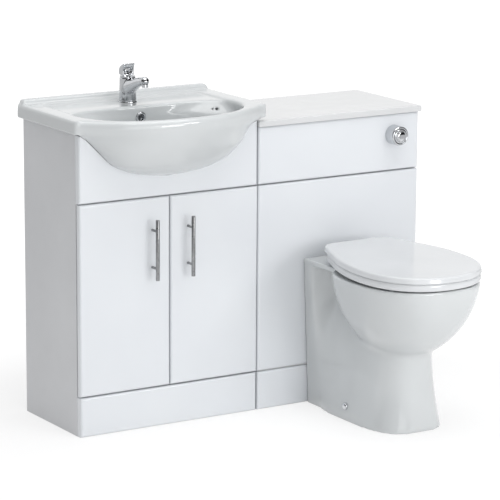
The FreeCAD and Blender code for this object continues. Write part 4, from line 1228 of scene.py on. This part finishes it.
def make_seat():
    """The seat: an egg-shaped ring with rounded edges and a top that falls to its hole, on two hinge lugs."""
    outer = cover_ring(-seat_inset, seat_rear + seat_inset, 0)
    hole_front = lid_front + 0.065
    hole_rear = y_axis - 0.082
    centre = Vector((x_pan, (hole_front + hole_rear) / 2, 0))
    hole = egg_ring(x_pan, centre.y, seat_hole_half, hole_front, hole_rear, 0, 2.1, 2.2, 720)
    inner = []
    for point in outer:
        toward = (point - centre).normalized()
        inner.append(max(hole, key=lambda other: (other - centre).normalized().dot(toward)).copy())
    # Round the section: the share of the way from the outer edge to the hole, and the rise
    section = (
        (0.0, 0.005),
        (0.008, 0.0100),
        (0.018, 0.0150),
        (0.032, 0.0180),
        (0.06, 0.0195),
        (0.2, 0.0195),
        (0.5, 0.0192),
        (0.75, 0.0182),
        (0.9, 0.0155),
        (0.97, 0.0125),
        (1.0, 0.009),
        (0.99, 0.005),
        (0.95, 0.002),
        (0.9, 0.0005),
        (0.7, 0.0),
        (0.3, 0.0),
        (0.1, 0.0),
        (0.04, 0.0012),
        (0.012, 0.003),
        (0.0, 0.005),
    )
    rings = []
    for share, rise in section:
        ring = []
        for far, near in zip(outer, inner):
            point = far.lerp(near, share)
            point.z = seat_low + rise
            ring.append(point)
        rings.append(ring)
    seat = drawn("seat_ring", rings, closed=False)
    lug_start = hinge_post_offset - lug_gap - lug_length
    seat = with_lugs(seat, lug_start, y_face - seat_rear - 0.024, y_axis, seat_low + 0.006)
    finish_piece(seat, "seat", "seat_plastic", "seat")


# Tap

tap_foot = ledge_top
tap_inlet_low = measure(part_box("tap_body")[0][2])
spout_reach = 0.088
spout_rise = 0.064
ball_radius = 0.012
y_outlet = y_tap - spout_reach - 0.25 * ball_radius
outlet_radius = 0.0085
stem_radius = 0.00606
aerator_foot = tap_foot + 0.049
tap_grain = 0.0008
lever_half = 0.017
lever_slot_half = 0.0055
lever_pin_radius = 0.00256
lever_grain = 0.0006


def spout_ring(along, rise, half_across, half_up, count=48):
    """An upright oval ring of the spout, a distance before the tap's axis."""
    ring = []
    for step in range(count):
        angle = 2 * math.pi * step / count
        x = x_basin + half_across * signed_power(math.cos(angle), 0.9)
        z = tap_foot + rise + half_up * signed_power(math.sin(angle), 0.9)
        ring.append(Vector((x, y_tap - along, z)))
    return ring


def make_tap_body():
    """The tap's cast body: a round barrel that sweeps into a spout with a ball end."""
    barrel = (
        (0.0222, 0.003),
        (0.0226, 0.0038),
        (0.0224, 0.007),
        (0.0221, 0.014),
        (0.0217, 0.022),
        (0.0211, 0.036),
        (0.0205, 0.0625),
        (0.0197, 0.064),
    )
    body = turned("tap_casting", (x_basin, y_tap, tap_foot), upward, barrel)
    sections = (
        (-0.004, 0.0340, 0.0180, 0.0275),
        (0.008, 0.0375, 0.0184, 0.0255),
        (0.020, 0.0420, 0.0172, 0.0212),
        (0.034, 0.0475, 0.0156, 0.0168),
        (0.050, 0.0545, 0.0136, 0.0138),
        (0.066, 0.0600, 0.0118, 0.0118),
        (0.080, 0.0630, 0.0106, 0.0106),
        (0.090, 0.0640, 0.0102, 0.0102),
    )
    spout = drawn("spout", [spout_ring(*section) for section in sections])
    combine(body, spout, "UNION")
    let_go()
    bpy.ops.mesh.primitive_uv_sphere_add(
        segments=48,
        ring_count=24,
        radius=ball_radius,
        location=(x_basin, y_tap - spout_reach, tap_foot + spout_rise),
    )
    combine(body, settle("spout_ball"), "UNION")
    low = tap_foot + spout_rise - ball_radius
    outlet = bar("outlet", (x_basin, y_outlet, low - 0.004), (x_basin, y_outlet, low + 0.006), outlet_radius)
    combine(body, outlet, "DIFFERENCE")
    fired(body, tap_grain, 14)
    stem_top = (x_basin, y_tap, tap_foot + 0.077)
    stem_hole = bar("stem_hole", (x_basin, y_tap, tap_foot + 0.034), stem_top, stem_radius)
    combine(body, stem_hole, "DIFFERENCE")
    shank = turned(
        "shank",
        (x_basin, y_tap, tap_foot),
        upward,
        ((0.0135, -0.038), (0.0155, -0.036), (0.0155, 0.006), (0.014, 0.008)),
    )
    pieces = [shank]
    for side in (-1, 1):
        inlet = turned(
            "inlet",
            (x_basin + side * 0.0085, y_tap, tap_inlet_low),
            upward,
            ((0.0035, 0.02), (0.0035, 0.0), (0.005, 0.0005), (0.005, 0.027)),
            32,
        )
        pieces.append(inlet)
    body = merge("tap_casting", *pieces, body)
    smooth_by_angle(body, 50)
    finish_piece(body, "cabinet", "chrome", "tap_body")


def make_tap_trim():
    """The ring under the tap's body, and the aerator in its spout."""
    ring = turned(
        "tap_collar",
        (x_basin, y_tap, tap_foot),
        upward,
        (
            (0.0180, 0.0),
            (0.0245, 0.0),
            (0.0245, 0.0014),
            (0.0240, 0.0024),
            (0.0230, 0.003),
            (0.0180, 0.003),
            (0.0180, 0.0),
        ),
        closed=False,
    )
    smooth_by_angle(ring, 50)
    finish_piece(ring, "cabinet", "chrome", "tap_base_ring")
    aerator = turned(
        "aerator",
        (x_basin, y_outlet, aerator_foot),
        upward,
        (
            (0.0066, 0.002),
            (0.0064, 0.0),
            (0.0078, 0.0),
            (0.0084, 0.0006),
            (0.0084, 0.008),
            (0.0066, 0.008),
            (0.0066, 0.002),
        ),
        48,
        closed=False,
    )
    mesh_disc = turned(
        "aerator_mesh",
        (x_basin, y_outlet, aerator_foot + 0.0015),
        upward,
        ((0.0065, 0.0), (0.0065, 0.001), (0.003, 0.0014)),
        48,
    )
    aerator = merge("aerator_ring", mesh_disc, aerator)
    smooth_by_angle(aerator, 40)
    finish_piece(aerator, "cabinet", "chrome", "tap_aerator")


def make_tap_lever():
    """The lever: a thick hood that arches forward, with a scooped front."""
    # Round the side view: behind the tap's axis, and above the tap's foot
    outline = (
        (0.0175, 0.0738),
        (0.0176, 0.0790),
        (0.0168, 0.0835),
        (0.0145, 0.0880),
        (0.0105, 0.0920),
        (0.0050, 0.0955),
        (-0.0010, 0.0980),
        (-0.0090, 0.1000),
        (-0.0090, 0.0960),
        (-0.0066, 0.0915),
        (-0.0052, 0.0860),
        (-0.0048, 0.0800),
        (-0.0048, 0.0740),
        (-0.0048, 0.0683),
        (0.0080, 0.0683),
        (0.0120, 0.0683),
        (0.0160, 0.0700),
        (0.0174, 0.0722),
    )
    sides = []
    for across in (-lever_half, lever_half):
        sides.append([Vector((x_basin + across, y_tap + back, tap_foot + up)) for back, up in outline])
    lever = drawn("lever", sides)
    soften(lever, 0.0032, 4, lambda a, b: abs(a.x - b.x) < 0.0001)
    let_go()
    bpy.ops.mesh.primitive_uv_sphere_add(
        segments=48, ring_count=24, radius=1, location=(x_basin, y_tap - 0.0085, tap_foot + 0.0785)
    )
    bpy.ops.transform.resize(value=(0.0128, 0.0110, 0.0118))
    combine(lever, settle("scoop"), "DIFFERENCE")
    fired(lever, lever_grain, 8)
    slot_low = (x_basin - lever_slot_half, y_tap - 0.002, tap_foot + 0.063)
    slot = cuboid("slot", slot_low, (x_basin + lever_slot_half, y_tap + 0.024, tap_foot + 0.0858))
    combine(lever, slot, "DIFFERENCE")
    pin = Vector((x_basin, y_tap + 0.012, tap_foot + 0.0738))
    reach = Vector((0.0142, 0, 0))
    bore = bar("bore", pin - reach, pin + reach, lever_pin_radius)
    combine(lever, bore, "DIFFERENCE")
    smooth_by_angle(lever, 50)
    finish_piece(lever, "tap_lever", "chrome", "tap_lever")


# Overflow, plug, handles and flush button

plug_height = 0.006
handle_post_spacing = 0.096
flush_split = 0.005
flush_split_gap = 0.0005


def make_overflow():
    """The overflow's chrome ring, with its sleeve in the wall of the bowl."""
    place = (x_basin, overflow_low[1], overflow_height)
    ring = turned(
        "overflow_trim",
        place,
        to_wall,
        (
            (0.0090, 0.030),
            (0.0090, 0.0014),
            (0.0098, 0.0003),
            (0.0110, 0.0),
            (0.0130, 0.0007),
            (0.0142, 0.0020),
            (0.0145, 0.0040),
            (0.0145, 0.0060),
            (0.0113, 0.0075),
            (0.0113, 0.030),
            (0.0090, 0.030),
        ),
        closed=False,
    )
    smooth_by_angle(ring, 50)
    finish_piece(ring, "cabinet", "chrome", "overflow_ring")


def make_plug():
    """The waste's plug: a low dome with a rolled edge, on its stem."""
    low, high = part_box("waste_plug")
    seat = high[2] - plug_height
    plug = turned(
        "plug_dome",
        (x_basin, y_waste, seat),
        upward,
        (
            (0.0050, low[2] - seat + 0.0005),
            (0.0050, -0.0005),
            (0.0285, 0.0),
            (0.0300, 0.0010),
            (0.0300, 0.0026),
            (0.0293, 0.0040),
            (0.0280, 0.0048),
            (0.0230, 0.0054),
            (0.0150, 0.0058),
            (0.0060, plug_height),
        ),
    )
    smooth_by_angle(plug, 50)
    finish_piece(plug, "waste_plug", "chrome", "waste_plug")


def make_handles():
    """A bar handle on each door, on two posts with a small foot."""
    for side in ("left", "right"):
        low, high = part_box(side + "_handle_bar")
        x_bar = (low[0] + high[0]) / 2
        y_bar = (low[1] + high[1]) / 2
        length = high[2] - low[2]
        rod = turned(
            side + "_bar",
            (x_bar, y_bar, low[2]),
            upward,
            (
                (0.0040, 0.0),
                (0.0046, 0.0002),
                (0.0050, 0.0009),
                (0.0050, length - 0.0009),
                (0.0046, length - 0.0002),
                (0.0040, length),
            ),
            40,
        )
        smooth_by_angle(rod, 40)
        finish_piece(rod, side + "_door", "satin_steel", side + "_handle_bar")
        posts = []
        for end in (-1, 1):
            z = (low[2] + high[2]) / 2 + end * handle_post_spacing / 2
            post = turned(
                side + "_post",
                (x_bar, y_bar + 0.003, z),
                to_wall,
                (
                    (0.0030, 0.0),
                    (0.0035, 0.0010),
                    (0.0033, 0.0060),
                    (0.0033, 0.0200),
                    (0.0035, 0.0222),
                    (0.0035, 0.0240),
                ),
                32,
            )
            posts.append(post)
        pair = merge(side + "_handle_pair", *posts)
        smooth_by_angle(pair, 40)
        finish_piece(pair, side + "_door", "satin_steel", side + "_handle_posts")


def make_flush_button():
    """The flush button: a round bezel with a rolled front ring, and a domed button in two unequal parts."""
    low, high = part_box("flush_bezel")
    x_button = (low[0] + high[0]) / 2
    z_button = (low[2] + high[2]) / 2
    face = (x_button, y_face, z_button)
    bezel = turned(
        "flush_surround",
        face,
        to_front,
        (
            (0.0215, -0.043),
            (0.0215, 0.0),
            (0.0265, 0.0),
            (0.0265, 0.0012),
            (0.0263, 0.0040),
            (0.0258, 0.0100),
            (0.0252, 0.0160),
            (0.0249, 0.0172),
            (0.0251, 0.0182),
            (0.0256, 0.0192),
            (0.0258, 0.0205),
            (0.0258, 0.0275),
            (0.0255, 0.0300),
            (0.0248, 0.0320),
            (0.0236, 0.0334),
            (0.0222, 0.0338),
            (0.0208, 0.0336),
            (0.0197, 0.0330),
            (0.0194, 0.0316),
            (0.0194, -0.043),
            (0.0215, -0.043),
        ),
        96,
        closed=False,
    )
    smooth_by_angle(bezel, 50)
    finish_piece(bezel, "cabinet", "chrome", "flush_bezel")
    low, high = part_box("full_flush_button")
    front = measure(low[1])
    back = high[1]
    split = x_button - flush_split
    for name, side in (("half_flush_button", -1), ("full_flush_button", 1)):
        button = turned(
            name + "_cap",
            (x_button, front, z_button),
            to_wall,
            (
                (0.0190, back - front),
                (0.0190, 0.0052),
                (0.0187, 0.0042),
                (0.0179, 0.0036),
                (0.0160, 0.0033),
                (0.0140, 0.0037),
                (0.0130, 0.0034),
                (0.0122, 0.0024),
                (0.0106, 0.0013),
                (0.0080, 0.0006),
                (0.0040, 0.0001),
                (0.0010, 0.0),
            ),
            96,
        )
        take(button)
        bpy.ops.object.mode_set(mode="EDIT")
        bpy.ops.mesh.select_all(action="SELECT")
        bpy.ops.mesh.bisect(
            plane_co=(split + side * flush_split_gap / 2, 0, 0),
            plane_no=(side, 0, 0),
            use_fill=True,
            clear_inner=True,
        )
        bpy.ops.object.mode_set(mode="OBJECT")
        smooth_by_angle(button, 40)
        finish_piece(button, name, "chrome", name)


make_tap_body()
make_tap_trim()
make_tap_lever()
make_overflow()
make_plug()
make_handles()
make_flush_button()
make_basin()
make_pan()
make_screw_caps()
make_lid()
make_seat()


def make_floor():
    """A white paper floor: it keeps the suite's soft shadow near by and is evenly white further out."""
    let_go()
    bpy.ops.mesh.primitive_plane_add(size=40, location=(0, 0, -0.0005))
    floor = settle("studio_floor")
    material, tree, surface, place = start_material("white_paper_floor")
    surface.inputs["Base Color"].default_value = linear("EAEAEA")
    surface.inputs["Roughness"].default_value = 0.9
    surface.inputs["Specular IOR Level"].default_value = 0.0
    distance = add(tree, "ShaderNodeVectorMath", {"operation": "LENGTH"}, {0: place})
    # The shadow gives way to even white between 0.8 and 1.6 m from the middle
    share = add(
        tree,
        "ShaderNodeMapRange",
        {"From Min": 0.8, "From Max": 1.6, "To Min": 0.58, "To Max": 1.0},
        {"Value": distance.outputs["Value"]},
    )
    path = add(tree, "ShaderNodeLightPath")
    seen = add(
        tree,
        "ShaderNodeMath",
        {"operation": "MAXIMUM"},
        {0: path.outputs["Is Camera Ray"], 1: path.outputs["Is Glossy Ray"]},
    )
    shown = add(
        tree,
        "ShaderNodeMath",
        {"operation": "MULTIPLY"},
        {0: seen.outputs[0], 1: share.outputs["Result"]},
    )
    # In the suite's reflections the paper is dimmer from 1.3 m out
    paper = add(
        tree,
        "ShaderNodeMapRange",
        {"From Min": 1.3, "From Max": 2.2, "To Min": 1.0, "To Max": 0.6},
        {"Value": distance.outputs["Value"]},
    )
    level = add(
        tree,
        "ShaderNodeMath",
        {"operation": "MAXIMUM"},
        {0: path.outputs["Is Camera Ray"], 1: paper.outputs["Result"]},
    )
    strength = add(tree, "ShaderNodeMath", {"operation": "MULTIPLY", 1: 1.15}, {0: level.outputs[0]})
    glow = add(tree, "ShaderNodeEmission", {"Color": (1, 1, 1, 1)}, {"Strength": strength.outputs[0]})
    mix = add(
        tree, "ShaderNodeMixShader", None, {0: shown.outputs[0], 1: surface.outputs[0], 2: glow.outputs[0]}
    )
    tree.links.new(mix.outputs[0], tree.nodes["Material Output"].inputs["Surface"])
    floor.data.materials.append(material)


def make_surround():
    """The studio: even soft light, white behind the suite, and before it a dark room with a pale ceiling."""
    world = bpy.data.worlds.new("white_studio")
    bpy.context.scene.world = world
    world.use_nodes = True
    tree = world.node_tree
    toward = add(tree, "ShaderNodeTexCoord").outputs["Generated"]
    parts = add(tree, "ShaderNodeSeparateXYZ", None, {"Vector": toward})
    # Reflections alone show the room: dark in front, pale high up, white behind
    front = add(
        tree,
        "ShaderNodeMapRange",
        {"From Min": 0.45, "From Max": 0.75, "To Min": 0.02, "To Max": 0.6},
        {"Value": parts.outputs["Z"]},
    )
    room = add(
        tree,
        "ShaderNodeMapRange",
        {"From Min": 0.25, "From Max": 0.7, "To Max": 1.0},
        {"Value": parts.outputs["Y"], "To Min": front.outputs["Result"]},
    )
    path = add(tree, "ShaderNodeLightPath")
    bright = add(
        tree,
        "ShaderNodeMath",
        {"operation": "MAXIMUM"},
        {0: path.outputs["Is Camera Ray"], 1: path.outputs["Is Transmission Ray"]},
    )
    mirrored = add(tree, "ShaderNodeBackground", None, {"Color": room.outputs["Result"]})
    white = add(tree, "ShaderNodeBackground", {"Color": (1, 1, 1, 1), "Strength": 1.0})
    ambient = tree.nodes["Background"]
    ambient.inputs["Color"].default_value = (0.985, 0.99, 1.0, 1)
    ambient.inputs["Strength"].default_value = 0.62
    in_gloss = add(
        tree,
        "ShaderNodeMixShader",
        None,
        {0: path.outputs["Is Glossy Ray"], 1: ambient.outputs[0], 2: mirrored.outputs[0]},
    )
    mix = add(
        tree,
        "ShaderNodeMixShader",
        None,
        {0: bright.outputs[0], 1: in_gloss.outputs[0], 2: white.outputs[0]},
    )
    tree.links.new(mix.outputs[0], tree.nodes["World Output"].inputs["Surface"])


def make_lamps():
    """Softboxes: a key before the fronts, a broad fill on its left, a small one on its right, one above."""
    aim = Vector((0, 0, 0.45))
    # Name, place, width, height and power
    lamps = (
        ("key_softbox", (0.6, -2.95, 0.9), 0.9, 0.9, 18.0),
        ("fill_softbox", (-0.7, -2.9, 0.9), 1.8, 1.6, 13.0),
        ("side_softbox", (1.55, -3.1, 1.7), 0.55, 0.55, 9.0),
        ("top_softbox", (0.1, -0.6, 4.0), 3.0, 3.0, 66.0),
    )
    for name, place, width, height, power in lamps:
        bpy.ops.object.light_add(type="AREA", location=place)
        lamp = bpy.context.object
        lamp.name = name
        lamp.data.shape = "RECTANGLE"
        lamp.data.size = width
        lamp.data.size_y = height
        lamp.data.energy = power
        lamp.rotation_euler = (aim - Vector(place)).to_track_quat("-Z", "Y").to_euler()


let_go()
make_camera()
make_floor()
make_surround()
make_lamps()
bpy.context.scene.view_settings.view_transform = "Standard"
